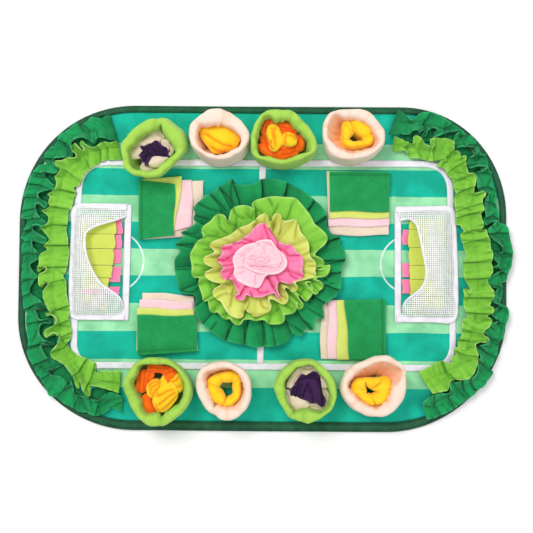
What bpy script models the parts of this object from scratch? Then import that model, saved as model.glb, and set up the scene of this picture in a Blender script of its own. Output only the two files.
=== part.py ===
"""Snuffle mat: a bound cloth mat laid out as a small ball pitch.

Fleece ruffles run round its short sides. Cups, flap stacks, a flower and two net goals are sewn onto it.
Metres, +Z up. The origin is the middle of the underside, +X runs along the long side and +Y to the far one.
Every piece that a maker cuts and sews on is one object. Sewn pieces lie GAP above what carries them.
"""

from math import cos, hypot, pi, sin

import bmesh
import bpy
import numpy as np

# ---------------------------------------------------------------- driving sizes
GAP = 0.0003
WELD = 1e-5

MAT_LENGTH = 0.750
MAT_WIDTH = 0.500
MAT_THICKNESS = 0.004
EDGE_WAVE = 0.0008
BINDING_CLOTH = 0.0008
BINDING_WIDTH = 0.0105
BINDING_EXTRA_NEAR_SIDE = 0.0045

TAPE_WIDTH = 0.0096
TAPE_CLOTH = 0.0008
FLEECE = 0.002
NET_CLOTH = 0.001

ON_MAT = MAT_THICKNESS + GAP
ON_TAPE = ON_MAT + TAPE_CLOTH + GAP
LAYER_STEP = FLEECE + GAP
FLOWER_STEP = FLEECE + 2 * GAP

# Corner radii of the mat, counter-clockwise from the far right corner: side of X, side of Y, radius.
MAT_CORNERS = (
    (1, 1, 0.166),
    (-1, 1, 0.182),
    (-1, -1, 0.175),
    (1, -1, 0.182),
)
CORNER_STEPS = 11
SIDE_STEPS = 3

# Corners of the taped pitch, in the same order: x, y, length of the rounding.
PITCH_CORNERS = (
    (0.2865, 0.1624, 0.043),
    (-0.2819, 0.1613, 0.046),
    (-0.2896, -0.1502, 0.037),
    (0.2938, -0.1512, 0.040),
)
CENTRE_LINE_X = -0.0015

# Ruffle bands, from their far end round the short side to their near end. x and y give the line where the
# dark green strip meets the lime one. Then come the width of the green strip outside it and of the lime one.
BANDS = {
    "left": (
        (-0.217, 0.200, 0.034, 0.036),
        (-0.256, 0.192, 0.036, 0.034),
        (-0.292, 0.177, 0.030, 0.040),
        (-0.319, 0.140, 0.032, 0.037),
        (-0.335, 0.088, 0.031, 0.037),
        (-0.340, 0.010, 0.027, 0.040),
        (-0.330, -0.070, 0.034, 0.035),
        (-0.3145, -0.136, 0.037, 0.031),
        (-0.279, -0.184, 0.033, 0.041),
        (-0.248, -0.198, 0.028, 0.043),
        (-0.214, -0.196, 0.024, 0.038),
    ),
    "right": (
        (0.197, 0.205, 0.038, 0.028),
        (0.232, 0.206, 0.036, 0.036),
        (0.262, 0.199, 0.033, 0.036),
        (0.297, 0.184, 0.026, 0.039),
        (0.322, 0.150, 0.024, 0.037),
        (0.337, 0.100, 0.023, 0.041),
        (0.348, 0.046, 0.028, 0.041),
        (0.350, -0.020, 0.027, 0.042),
        (0.344, -0.085, 0.027, 0.036),
        (0.328, -0.132, 0.030, 0.037),
        (0.310, -0.166, 0.030, 0.038),
        (0.283, -0.179, 0.029, 0.034),
        (0.247, -0.195, 0.031, 0.038),
    ),
}
BAND_PLEATS = 21
PLEAT_COLUMNS = 4
PLEAT_SWING = 0.003
STRIP_PARTING = 0.0026
RUFFLE_LOW = 0.0085
RUFFLE_HIGH = 0.0205

# Cups: cloth, base centre x and y, rim centre x and y, half length and half width of the rim, height, wall
# and turn.
CUPS = (
    ("lime", -0.161, 0.183, -0.163, 0.182, 0.048, 0.042, 0.048, 0.012, 0.3),
    ("cream", -0.065, 0.198, -0.066, 0.199, 0.0445, 0.039, 0.046, 0.013, 1.2),
    ("lime", 0.031, 0.194, 0.031, 0.195, 0.049, 0.0425, 0.047, 0.012, 2.0),
    ("cream", 0.135, 0.199, 0.135, 0.200, 0.046, 0.038, 0.046, 0.013, 0.8),
    ("lime", -0.153, -0.188, -0.153, -0.185, 0.051, 0.0505, 0.049, 0.011, 2.7),
    ("cream", -0.056, -0.184, -0.056, -0.183, 0.041, 0.044, 0.047, 0.012, 1.6),
    ("lime", 0.065, -0.185, 0.065, -0.184, 0.047, 0.048, 0.048, 0.011, 0.1),
    ("cream", 0.166, -0.186, 0.1675, -0.1755, 0.048, 0.0445, 0.046, 0.012, 2.3),
)
BASE_TO_RIM = 0.97
CUP_COLUMNS = 18

# Petal fillings: cup number, offset x and y from the rim's centre, half length, half width, petals, outer
# cloth and bud cloth.
PETALS = (
    (1, -0.001, -0.001, 0.0300, 0.0245, 6, "beige", "purple"),
    (3, 0.001, 0.001, 0.0310, 0.0250, 7, "orange", "yellow"),
    (5, 0.000, -0.001, 0.0330, 0.0330, 7, "orange", "yellow"),
    (7, 0.001, -0.001, 0.0300, 0.0315, 6, "beige", "purple"),
)
# Rolled fillings: cup number, offset x and y, half length, half width, height, wall.
ROLLS = (
    (4, 0.003, -0.001, 0.0235, 0.0230, 0.036, 0.0130),
    (6, 0.001, -0.001, 0.0240, 0.0260, 0.036, 0.0130),
    (8, -0.002, -0.003, 0.0270, 0.0235, 0.037, 0.0140),
)
BUN_CUP = 2
BUN_OFFSET = (0.002, -0.0035)
BUN_HALF_LENGTH = 0.0265
BUN_HALF_WIDTH = 0.0195
BUN_HEIGHT = 0.038

# Flap stacks: name, seam centre x and y, direction that the flaps point in, seam width, width at the free
# ends, sideways shift of the free ends, then the four lengths from the top flap to the bottom one.
FLAP_STACKS = (
    ("far_left", -0.190, 0.088, 0.0, 0.091, 0.083, 0.001, (0.054, 0.067, 0.082, 0.099)),
    ("far_right", 0.147, 0.1485, -pi / 2, 0.092, 0.092, 0.000, (0.061, 0.071, 0.083, 0.097)),
    ("near_left", -0.145, -0.130, pi / 2, 0.091, 0.086, 0.001, (0.058, 0.069, 0.080, 0.090)),
    ("near_right", 0.189, -0.0915, pi, 0.091, 0.089, 0.000, (0.059, 0.075, 0.089, 0.100)),
)
FLAP_LAYERS = ("green", "yellow", "pink", "beige")
FLAP_LIFT = 0.0012

# Flower layers from the bottom: name, outer radius, rise of its edge, height of its waves, waves, columns a
# wave and turn.
FLOWER_CENTRE = (-0.004, 0.008)
FLOWER_LAYERS = (
    ("green", 0.1290, 0.0120, 0.0050, 20, 3, 0.1),
    ("lime", 0.1010, 0.0200, 0.0065, 12, 4, 0.5),
    ("yellow", 0.0810, 0.0270, 0.0060, 11, 4, 1.1),
    ("pink", 0.0590, 0.0300, 0.0055, 9, 4, 0.2),
)
FLOWER_HEART = 0.012
FLOWER_FLAT = 0.025
FRILL_MIDDLE = 0.45
ROSE_RADIUS = 0.037
ROSE_HEIGHT = 0.043

# Goals: x and y along the net's sewn edge and along its open edge, both from the far end to the near end.
NETS = {
    "left": {
        "sewn": (
            (-0.2080, 0.0970), (-0.2480, 0.0960), (-0.2820, 0.0940), (-0.2895, 0.0800), (-0.2915, 0.0350),
            (-0.2915, -0.0150), (-0.2900, -0.0600), (-0.2840, -0.0775), (-0.2480, -0.0800),
            (-0.2130, -0.0805),
        ),
        "open": (
            (-0.2090, 0.0790), (-0.2270, 0.0715), (-0.2500, 0.0640), (-0.2670, 0.0540), (-0.2675, 0.0300),
            (-0.2590, 0.0000), (-0.2440, -0.0250), (-0.2240, -0.0390), (-0.2150, -0.0500),
            (-0.2125, -0.0620),
        ),
    },
    "right": {
        "sewn": (
            (0.2060, 0.0955), (0.2470, 0.0950), (0.2830, 0.0930), (0.2920, 0.0800), (0.2955, 0.0350),
            (0.2975, -0.0150), (0.2980, -0.0600), (0.2920, -0.0775), (0.2500, -0.0800), (0.2080, -0.0800),
        ),
        "open": (
            (0.2090, 0.0755), (0.2230, 0.0775), (0.2330, 0.0690), (0.2380, 0.0500), (0.2425, 0.0250),
            (0.2470, -0.0040), (0.2430, -0.0250), (0.2290, -0.0380), (0.2160, -0.0520), (0.2150, -0.0640),
        ),
    },
}
NET_HEIGHT = 0.025
NET_CREST = 0.68
NET_COLUMNS = 10
NET_ROWS = 6

# Goal lines: x at the far end, y at the far end, x at the near end, y at the near end.
GOAL_LINES = {
    "left": (-0.2062, 0.0925, -0.2100, -0.0800),
    "right": (0.2070, 0.0910, 0.2085, -0.0795),
}

# Tab strips: header x, far y, near y, and the five free ends from the far one to the near one.
TABS = {
    "yellow_left": (-0.277, 0.0770, -0.0405, (-0.2240, -0.2255, -0.2275, -0.2300, -0.2350)),
    "pink_left": (-0.277, 0.0770, -0.0405, (-0.2150, -0.2160, -0.2170, -0.2175, -0.2190)),
    "yellow_right": (0.279, 0.0770, -0.0400, (0.2240, 0.2225, 0.2240, 0.2250, 0.2260)),
    "pink_right": (0.279, 0.0730, -0.0440, (0.2140, 0.2150, 0.2145, 0.2150, 0.2145)),
}
TAB_HEADER = 0.007
TAB_SLIT = 0.0012
TAB_CURL = 0.002

# Cloths: colour as red, green and blue from 0 to 255, and roughness.
CLOTHS = {
    "print": ((18, 179, 160), 0.80),
    "binding": ((31, 90, 60), 0.75),
    "white_tape": ((233, 228, 240), 0.70),
    "net": ((230, 230, 234), 0.70),
    "green": ((31, 160, 90), 0.95),
    "lime": ((133, 209, 69), 0.95),
    "cup_lime": ((166, 221, 94), 0.95),
    "cream": ((248, 227, 211), 0.95),
    "beige": ((240, 223, 204), 0.95),
    "yellow_green": ((221, 232, 122), 0.95),
    "pink": ((249, 213, 220), 0.95),
    "hot_pink": ((255, 143, 184), 0.95),
    "yellow": ((255, 217, 46), 0.95),
    "orange": ((255, 122, 24), 0.95),
    "purple": ((61, 22, 80), 0.95),
}


# ---------------------------------------------------------------- scene and materials
def clear_scene():
    for obj in list(bpy.data.objects):
        bpy.data.objects.remove(obj, do_unlink=True)


def linear(channel):
    """One colour channel from its 0 to 255 display value to the linear value that a shader takes."""
    share = channel / 255
    return share / 12.92 if share <= 0.04045 else ((share + 0.055) / 1.055) ** 2.4


def cloth_material(name, cloth):
    colour, roughness = CLOTHS[cloth]
    material = bpy.data.materials.new(name + "_cloth")
    material.use_nodes = True
    shader = material.node_tree.nodes["Principled BSDF"]
    shader.inputs["Base Color"].default_value = (*[linear(channel) for channel in colour], 1)
    shader.inputs["Roughness"].default_value = roughness
    shader.inputs["Metallic"].default_value = 0
    return material


def add_object(name, bm, cloth):
    """The bmesh as a named, smooth-shaded object with its own cloth."""
    mesh = bpy.data.meshes.new(name)
    bm.to_mesh(mesh)
    bm.free()
    mesh.shade_smooth()
    obj = bpy.data.objects.new(name, mesh)
    mesh.materials.append(cloth_material(name, cloth))
    COLLECTION.objects.link(obj)
    return obj


# ---------------------------------------------------------------- shapes in general
def placed_grid(columns, rows, place, keep=None):
    """A grid whose point at shares u and v, each from 0 to 1, goes to place(u, v).

    Where keep(column, row) is false, the face is dropped.
    """
    bm = bmesh.new()
    bmesh.ops.create_grid(bm, x_segments=columns, y_segments=rows, size=0.5)
    if keep:
        dropped = []
        for face in bm.faces:
            middle = face.calc_center_median()
            if not keep(int((middle.x + 0.5) * columns), int((middle.y + 0.5) * rows)):
                dropped.append(face)
        bmesh.ops.delete(bm, geom=dropped, context="FACES")
    for vert in bm.verts:
        vert.co = place(vert.co.x + 0.5, vert.co.y + 0.5)
    return bm


def sheet(name, cloth, columns, rows, place, thickness=FLEECE, closed=False, keep=None):
    """A cloth sheet on the middle surface place(u, v). closed joins its last column to its first."""
    bm = placed_grid(columns, rows, place, keep)
    if closed:
        bmesh.ops.remove_doubles(bm, verts=bm.verts, dist=WELD)
    obj = add_object(name, bm, cloth)
    solid = obj.modifiers.new("Thickness", "SOLIDIFY")
    solid.thickness = thickness
    solid.offset = 0
    return obj


def closed_ring(name, cloth, columns, corners, place):
    """A closed section of so many corners taken round a closed path: place(u, v) gives both."""
    bm = placed_grid(columns, corners, place)
    bmesh.ops.remove_doubles(bm, verts=bm.verts, dist=WELD)
    bmesh.ops.recalc_face_normals(bm, faces=bm.faces)
    return add_object(name, bm, cloth)


def capped_turning(name, cloth, columns, rows, place):
    """A closed body of rings, with its first and its last ring filled."""
    bm = placed_grid(columns, rows, place)
    bmesh.ops.remove_doubles(bm, verts=bm.verts, dist=WELD)
    rims = [edge for edge in bm.edges if edge.is_boundary]
    bmesh.ops.holes_fill(bm, edges=rims, sides=columns)
    bmesh.ops.recalc_face_normals(bm, faces=bm.faces)
    return add_object(name, bm, cloth)


def row_at(table, share):
    """The table's row at a share of its length, rounding to the nearest row."""
    return table[round(share * (len(table) - 1))]


def smooth_rows(table, between=8):
    """The table's rows with a smooth curve (Catmull-Rom) of further rows between them."""
    rows = np.array(table, float)
    ends = np.vstack([2 * rows[0] - rows[1], rows, 2 * rows[-1] - rows[-2]])
    dense = []
    for before, start, end, after in zip(ends, ends[1:], ends[2:], ends[3:]):
        for step in range(between):
            t = step / between
            bend = 2 * before - 5 * start + 4 * end - after
            twist = 3 * start - before - 3 * end + after
            dense.append(start + 0.5 * t * ((end - before) + t * (bend + t * twist)))
    dense.append(rows[-1])
    return np.array(dense)


class Line:
    """A smooth line through a table's rows, whose first two columns are x and y, by shares of its length."""

    def __init__(self, table):
        self.rows = smooth_rows(table)
        steps = np.hypot(*np.diff(self.rows[:, :2], axis=0).T)
        self.shares = np.concatenate([[0], np.cumsum(steps)])
        self.shares /= self.shares[-1]

    def at(self, share):
        return np.array([np.interp(share, self.shares, column) for column in self.rows.T])

    def left_normal(self, share):
        """The unit vector to the left of the line's direction."""
        step = 0.01
        ahead, behind = self.at(min(share + step, 1))[:2], self.at(max(share - step, 0))[:2]
        dx, dy = (ahead - behind) / hypot(*(ahead - behind))
        return np.array([-dy, dx])


# ---------------------------------------------------------------- mat and binding
def mat_edge(share, inset):
    """A point of the mat's outline, so far inside it. Each quarter is a corner and the side after it."""
    quarter = int(share * 4) % 4
    step = (share * 4 % 1) * (CORNER_STEPS + SIDE_STEPS)
    here, there = MAT_CORNERS[quarter], MAT_CORNERS[(quarter + 1) % 4]

    def on_corner(corner, angle):
        side_x, side_y, radius = corner
        return (
            side_x * (MAT_LENGTH / 2 - radius) + (radius - inset) * cos(angle),
            side_y * (MAT_WIDTH / 2 - radius) + (radius - inset) * sin(angle),
        )

    start = quarter * pi / 2
    if step <= CORNER_STEPS:
        return on_corner(here, start + step / CORNER_STEPS * pi / 2)
    x0, y0 = on_corner(here, start + pi / 2)
    x1, y1 = on_corner(there, start + pi / 2)
    along = (step - CORNER_STEPS) / SIDE_STEPS
    return x0 + (x1 - x0) * along, y0 + (y1 - y0) * along


def mat_point(share, inset, z):
    """As mat_edge, with the slow waves of a sewn edge."""
    wave = EDGE_WAVE * (1 + sin(2 * pi * 5 * share + 0.7))
    x, y = mat_edge(share, inset + wave)
    return x, y, z


def binding_width(share):
    """The binding is widest along the near side."""
    nearness = max(0, -mat_edge(share, 0)[1] / (MAT_WIDTH / 2))
    return BINDING_WIDTH + BINDING_EXTRA_NEAR_SIDE * nearness**4


def add_base_mat():
    """The quilted cloth: full thickness inside, and pressed thin where the binding folds round it."""
    flange_inset = BINDING_CLOTH + GAP + 0.0002
    flange_low = BINDING_CLOTH + GAP
    flange_high = MAT_THICKNESS - flange_low

    def place(u, v):
        step_inset = binding_width(u) + GAP
        section = (
            (step_inset, 0),
            (step_inset, flange_low),
            (flange_inset, flange_low),
            (flange_inset, flange_high),
            (step_inset, flange_high),
            (step_inset, MAT_THICKNESS),
        )
        return mat_point(u, *row_at(section, v))

    columns = 4 * (CORNER_STEPS + SIDE_STEPS)
    capped_turning("base_mat", "print", columns, 5, place)


def add_binding():
    """The tape folded round the mat's edge, open towards the mat."""
    rounding = 0.0005

    def place(u, v):
        width = binding_width(u)
        section = (
            (width, 0),
            (rounding, 0),
            (0, MAT_THICKNESS / 2),
            (rounding, MAT_THICKNESS),
            (width, MAT_THICKNESS),
            (width, MAT_THICKNESS - BINDING_CLOTH),
            (BINDING_CLOTH, MAT_THICKNESS - BINDING_CLOTH),
            (BINDING_CLOTH, BINDING_CLOTH),
            (width, BINDING_CLOTH),
            (width, 0),
        )
        return mat_point(u, *row_at(section, v))

    columns = 4 * (CORNER_STEPS + SIDE_STEPS)
    closed_ring("edge_binding", "binding", columns, 9, place)


# ---------------------------------------------------------------- tapes
def pitch_edge(share):
    """A point on the middle of the pitch's taped outline."""
    corner_share = 0.7
    quarter = int(share * 4) % 4
    along = share * 4 % 1
    before, here, after = (np.array(PITCH_CORNERS[(quarter + k) % 4]) for k in (-1, 0, 1))

    def towards(corner, other):
        way = other[:2] - corner[:2]
        return corner[:2] + way * corner[2] / hypot(*way)

    start, end = towards(here, before), towards(here, after)
    if along <= corner_share:
        t = along / corner_share
        return (1 - t) ** 2 * start + 2 * t * (1 - t) * here[:2] + t**2 * end
    next_start = towards(after, here)
    return end + (next_start - end) * (along - corner_share) / (1 - corner_share)


def add_pitch_outline():
    """The white tape sewn round the pitch."""

    def place(u, v):
        step = 0.002
        way = pitch_edge((u + step) % 1) - pitch_edge((u - step) % 1)
        outward = np.array([way[1], -way[0]]) / hypot(*way)
        side, z = row_at(((-1, 0), (1, 0), (1, 1), (-1, 1), (-1, 0)), v)
        x, y = pitch_edge(u % 1) + outward * side * TAPE_WIDTH / 2
        return x, y, ON_MAT + z * TAPE_CLOTH

    closed_ring("tape_pitch_outline", "white_tape", 40, 4, place)


def add_straight_tape(name, far, near):
    """A straight tape from its far end to its near end."""

    def place(u, v):
        x = far[0] + (near[0] - far[0]) * v + (u - 0.5) * TAPE_WIDTH
        return x, far[1] + (near[1] - far[1]) * v, ON_MAT + TAPE_CLOTH / 2

    sheet(name, "white_tape", 1, 4, place, TAPE_CLOTH)


def add_tapes():
    add_pitch_outline()
    end_room = TAPE_WIDTH / 2 + GAP
    far_y = (PITCH_CORNERS[0][1] + PITCH_CORNERS[1][1]) / 2 - end_room
    near_y = (PITCH_CORNERS[2][1] + PITCH_CORNERS[3][1]) / 2 + end_room
    add_straight_tape("tape_centre_line", (CENTRE_LINE_X, far_y), (CENTRE_LINE_X, near_y))
    for side, (far_x, far_y, near_x, near_y) in GOAL_LINES.items():
        add_straight_tape("tape_goal_" + side, (far_x, far_y), (near_x, near_y))


# ---------------------------------------------------------------- goals
def add_net(side):
    """A slack net pocket: sewn down along three sides, and open towards the middle of the pitch."""
    sewn, opened = Line(NETS[side]["sewn"]), Line(NETS[side]["open"])
    foot = ON_TAPE + NET_CLOTH / 2

    def place(u, v):
        start, end = sewn.at(u), opened.at(u)
        x, y = start + (end - start) * v
        arch = sin(pi * u) ** 0.7 if 0 < u < 1 else 0
        slack = 1 + 0.08 * sin(5 * pi * u) * v
        return x, y, foot + NET_HEIGHT * arch * sin(pi * NET_CREST * v) * slack

    sheet("net_" + side, "net", NET_COLUMNS, NET_ROWS, place, NET_CLOTH)


def add_tabs(name, cloth, layer):
    """Five fleece tabs cut into one strip, which is sewn down along its header."""
    header_x, far_y, near_y, ends = TABS[name]
    inward = -1 if header_x > 0 else 1
    tab_width = (far_y - near_y + TAB_SLIT) / len(ends) - TAB_SLIT
    columns, rows = 2 * len(ends) - 1, 3
    z = ON_MAT + FLEECE / 2 + layer * LAYER_STEP

    def place(u, v):
        line = round(u * columns)
        tab, past = divmod(line, 2)
        y = far_y - tab * (tab_width + TAB_SLIT) - past * tab_width
        header_end = header_x + inward * TAB_HEADER
        middle = (header_end + ends[tab]) / 2
        x = row_at((header_x, header_end, middle, ends[tab]), v)
        return x, y, z + row_at((0, 0, 0.3, 1), v) * TAB_CURL * layer

    def is_cloth(column, row):
        return column % 2 == 0 or row == 0

    sheet("tabs_" + name, cloth, columns, rows, place, keep=is_cloth)


def add_goals():
    for side in ("left", "right"):
        add_net(side)
        add_tabs("yellow_" + side, "yellow_green", 1)
        add_tabs("pink_" + side, "hot_pink", 0)


# ---------------------------------------------------------------- flaps
def add_flap(stack, layer):
    """One fleece flap of a stack, sewn along one side. Layer 0 is the top and shortest flap."""
    name, seam_x, seam_y, way, seam_width, end_width, end_shift, lengths = stack
    length = lengths[layer]
    z = ON_MAT + FLEECE / 2 + (len(lengths) - 1 - layer) * LAYER_STEP

    def place(u, v):
        along = length * v
        width = seam_width + (end_width - seam_width) * v
        across = (u - 0.5) * width + end_shift * v
        along += 0.0015 * sin(pi * u + layer) * v
        x = seam_x + along * cos(way) - across * sin(way)
        y = seam_y + along * sin(way) + across * cos(way)
        return x, y, z + FLAP_LIFT * v**2 * sin(pi * u / 2 + 0.4)

    cloth = {"yellow": "yellow_green"}.get(FLAP_LAYERS[layer], FLAP_LAYERS[layer])
    sheet(f"flap_{name}_{FLAP_LAYERS[layer]}", cloth, 2, 3, place)


def add_flaps():
    for stack in FLAP_STACKS:
        for layer in range(len(FLAP_LAYERS)):
            add_flap(stack, layer)


# ---------------------------------------------------------------- cups and their fillings
def add_wall_ring(name, cloth, columns, base, rim, half_sizes, foot, height, wall, turn):
    """A soft standing ring: a wall with a fat rolled rim, leaning from its base centre to its rim centre."""
    # From the outer foot over the rim to the inner foot: share of the wall inwards, share of the height.
    section = (
        (0.15, 0.0),
        (0.0, 0.62),
        (0.22, 0.94),
        (0.60, 1.0),
        (0.95, 0.86),
        (0.80, 0.0),
        (0.15, 0.0),
    )

    def place(u, v):
        inward, up = row_at(section, v)
        angle = 2 * pi * u
        wobble = 1 + 0.020 * sin(2 * angle + turn) + 0.014 * sin(3 * angle - 2 * turn)
        lean = [start + (end - start) * up for start, end in zip(base, rim)]
        spread = BASE_TO_RIM + (1 - BASE_TO_RIM) * up
        x = lean[0] + (half_sizes[0] * spread * wobble - inward * wall) * cos(angle)
        y = lean[1] + (half_sizes[1] * spread * wobble - inward * wall) * sin(angle)
        dip = 1 + 0.035 * sin(2 * angle + 3 * turn)
        return x, y, foot + height * up * dip

    closed_ring(name, cloth, columns, 6, place)


def add_frill(name, cloth, centre, radii, heart, flat, z, rise, wave, waves, columns, turn):
    """A frilled round of cloth: flat at its heart, rising outwards, with waves that grow towards its edge."""

    def place(u, v):
        start, reach = row_at(((heart, 0), (flat, 0), (flat, FRILL_MIDDLE), (flat, 1)), v)
        angle = 2 * pi * u
        swing = 1 + 0.012 * sin(3 * angle + turn) + 0.022 * reach * sin(waves * angle + turn)
        x_radius = start + (radii[0] * swing - start) * reach
        y_radius = start + (radii[1] * swing - start) * reach
        height = rise * reach**1.2 + wave * reach**3 * sin(waves * angle + 2 * turn)
        return centre[0] + x_radius * cos(angle), centre[1] + y_radius * sin(angle), z + height

    sheet(name, cloth, columns, 3, place, closed=True)


def add_bun(name, cloth, columns, centre, radii, foot, z, height, lobes, turn):
    """A gathered bud or rolled bun: narrow at its foot, full above, and drawn in at its top."""
    # Profile from the foot to the top: share of the radius, share of the height. The foot has its own radius.
    profile = ((0, 0.0), (0.42, 0.16), (0.84, 0.42), (1.0, 0.66), (0.80, 0.93), (0.45, 1.0), (0.14, 0.84))

    def place(u, v):
        share, up = row_at(profile, v)
        angle = 2 * pi * u
        lobe = 1 + 0.06 * share * sin(lobes * angle + turn + 2 * up)
        across = [max(share * radius, foot) * lobe for radius in radii]
        return centre[0] + across[0] * cos(angle), centre[1] + across[1] * sin(angle), z + height * up

    capped_turning(name, cloth, columns, len(profile) - 1, place)


def add_cups():
    for number, row in enumerate(CUPS, start=1):
        cloth, base_x, base_y, rim_x, rim_y, half_length, half_width, height, wall, turn = row
        cloth = {"lime": "cup_lime"}.get(cloth, cloth)
        base, rim = (base_x, base_y), (rim_x, rim_y)
        half_sizes = (half_length, half_width)
        name = f"cup_{number}"
        add_wall_ring(name, cloth, CUP_COLUMNS, base, rim, half_sizes, ON_TAPE, height, wall, turn)


def rim_centre(cup, offset_x, offset_y):
    return CUPS[cup - 1][3] + offset_x, CUPS[cup - 1][4] + offset_y


def add_fillings():
    bud_share = 0.56
    for cup, offset_x, offset_y, half_length, half_width, petals, cloth, bud_cloth in PETALS:
        centre = rim_centre(cup, offset_x, offset_y)
        radii = (half_length, half_width)
        z = ON_MAT + FLEECE / 2
        columns = petals * 3
        add_frill(f"petals_{cup}", cloth, centre, radii, 0.005, 0.008, z, 0.032, 0.0035, petals, columns, cup)
        bud_radii = [radius * bud_share for radius in radii]
        bud_z = ON_MAT + LAYER_STEP
        add_bun(f"bud_{cup}", bud_cloth, 12, centre, bud_radii, 0.0055, bud_z, 0.038, 4, cup)
    for cup, offset_x, offset_y, half_length, half_width, height, wall in ROLLS:
        centre = rim_centre(cup, offset_x, offset_y)
        base = [(low + high) / 2 for low, high in zip(CUPS[cup - 1][1:3], centre)]
        half_sizes = (half_length, half_width)
        add_wall_ring(f"roll_{cup}", "yellow", 14, base, centre, half_sizes, ON_MAT, height, wall, cup)
    centre = rim_centre(BUN_CUP, *BUN_OFFSET)
    bun_radii = (BUN_HALF_LENGTH, BUN_HALF_WIDTH)
    add_bun(f"roll_{BUN_CUP}", "yellow", 14, centre, bun_radii, 0.012, ON_MAT, BUN_HEIGHT, 2, 0.9)


# ---------------------------------------------------------------- flower
def add_flower():
    cloths = {"yellow": "yellow_green", "pink": "hot_pink"}
    z = ON_TAPE + FLEECE / 2
    for name, radius, rise, wave, waves, wave_columns, turn in FLOWER_LAYERS:
        cloth = cloths.get(name, name)
        radii = (radius, radius)
        columns = waves * wave_columns
        add_frill(
            "flower_" + name, cloth, FLOWER_CENTRE, radii, FLOWER_HEART, FLOWER_FLAT,
            z, rise, wave, waves, columns, turn,
        )
        z += FLOWER_STEP
    rose_foot = FLOWER_HEART + 0.002
    rose_z = z - FLOWER_STEP + FLEECE / 2 + GAP
    rose_radii = (ROSE_RADIUS, ROSE_RADIUS)
    add_bun("flower_rose", "pink", 20, FLOWER_CENTRE, rose_radii, rose_foot, rose_z, ROSE_HEIGHT, 5, 0.4)


# ---------------------------------------------------------------- ruffles
def add_ruffle(side, cloth):
    """A gathered strip sewn down along its middle, its two free edges standing in waves."""
    line = Line(BANDS[side])
    outward = 1 if side == "right" else -1
    columns = BAND_PLEATS * PLEAT_COLUMNS

    def place(u, v):
        phase = 2 * pi * BAND_PLEATS * u
        x, y, green_width, lime_width = line.at(u)
        meeting = PLEAT_SWING * sin(phase)
        free_edge = PLEAT_SWING * sin(phase + pi / 2)
        if cloth == "green":
            edges = green_width + free_edge, STRIP_PARTING / 2 + meeting
        else:
            edges = -STRIP_PARTING / 2 + meeting, -lime_width + free_edge
        across = row_at((edges[0], sum(edges) / 2, edges[1]), v)
        normal = line.left_normal(u) * outward
        stand = 0.5 + 0.5 * sin(phase + row_at((0, 0, pi), v))
        sewn = ON_MAT + FLEECE / 2
        z = sewn if v == 0.5 else RUFFLE_LOW + (RUFFLE_HIGH - RUFFLE_LOW) * stand
        return x + normal[0] * across, y + normal[1] * across, z

    sheet(f"ruffle_{cloth}_{side}", cloth, columns, 2, place)


def add_ruffles():
    for side in BANDS:
        for cloth in ("green", "lime"):
            add_ruffle(side, cloth)


# ---------------------------------------------------------------- build
clear_scene()
COLLECTION = bpy.data.collections.new("snuffle_mat")
bpy.context.scene.collection.children.link(COLLECTION)
add_base_mat()
add_binding()
add_tapes()
add_goals()
add_flaps()
add_cups()
add_fillings()
add_flower()
add_ruffles()
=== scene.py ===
"""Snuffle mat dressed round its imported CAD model: a cloth ball pitch with fleece ruffles, cups and a flower.

Metres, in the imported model's frame. Places read off the photograph are in its pixels, and photo_point turns
them into metres at the height where the piece lies.
"""

from math import cos, hypot, pi, radians, sin

import bpy
import numpy as np
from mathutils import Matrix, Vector


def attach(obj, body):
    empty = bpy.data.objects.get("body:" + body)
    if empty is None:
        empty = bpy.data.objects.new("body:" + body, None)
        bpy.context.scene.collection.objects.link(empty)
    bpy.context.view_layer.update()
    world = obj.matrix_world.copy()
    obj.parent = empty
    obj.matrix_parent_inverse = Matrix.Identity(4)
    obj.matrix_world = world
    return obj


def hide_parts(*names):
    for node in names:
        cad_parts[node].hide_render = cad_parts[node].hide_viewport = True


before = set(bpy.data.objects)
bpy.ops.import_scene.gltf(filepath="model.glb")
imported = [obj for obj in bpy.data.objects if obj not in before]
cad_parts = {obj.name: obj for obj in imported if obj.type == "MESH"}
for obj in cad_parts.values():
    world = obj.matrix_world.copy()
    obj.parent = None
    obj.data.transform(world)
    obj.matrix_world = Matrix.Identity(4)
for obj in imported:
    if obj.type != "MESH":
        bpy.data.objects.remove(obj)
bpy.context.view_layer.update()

# ---------------------------------------------------------------- sizes shared with the part's source
MAT_LENGTH = 0.750
MAT_WIDTH = 0.500
MAT_THICKNESS = 0.004
EDGE_WAVE = 0.0008
EDGE_WAVES = 5
BINDING_WIDTH = 0.0105
BINDING_EXTRA_NEAR_SIDE = 0.0045
TAPE_WIDTH = 0.0100
TAPE_CLOTH = 0.0008
FLEECE = 0.002
ON_MAT = 0.0043
ON_TAPE = 0.0054
LAYER_STEP = 0.0023
MAT_CORNERS = ((1, 1, 0.166), (-1, 1, 0.182), (-1, -1, 0.175), (1, -1, 0.182))
PITCH_CORNERS = (
    (0.2865, 0.1624, 0.043),
    (-0.2819, 0.1613, 0.046),
    (-0.2896, -0.1502, 0.037),
    (0.2938, -0.1512, 0.040),
)

# ---------------------------------------------------------------- cloth as it is drawn here
QUILT = 0.0026
BINDING_CLOTH = 0.0008
NET_TAPE_CLOTH = 0.0009
RUFFLE_CLOTH = 0.0017
FLOWER_CLOTH = 0.0018
SCRAP_CLOTH = 0.0014
PETAL_CLOTH = 0.0012
# First random seed of each kind of piece.
SEEDS = {
    "tape": 1, "mat": 3, "binding": 5, "net_left": 11, "net_right": 12, "flap": 40, "cup": 60, "ruffle": 70,
    "roll": 80, "flower": 90, "under_layer": 170, "scrap": 300, "petal": 400,
}

# ---------------------------------------------------------------- the photograph's view
CAMERA_HEIGHT = 1.3
CAMERA_LENS = 57.02
PIXEL = 0.00154
PHOTO_MIDDLE = 266.5
CAMERA_X = 0.00616
CAMERA_Y = 0.00308
TURN = radians(0.42)


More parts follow.
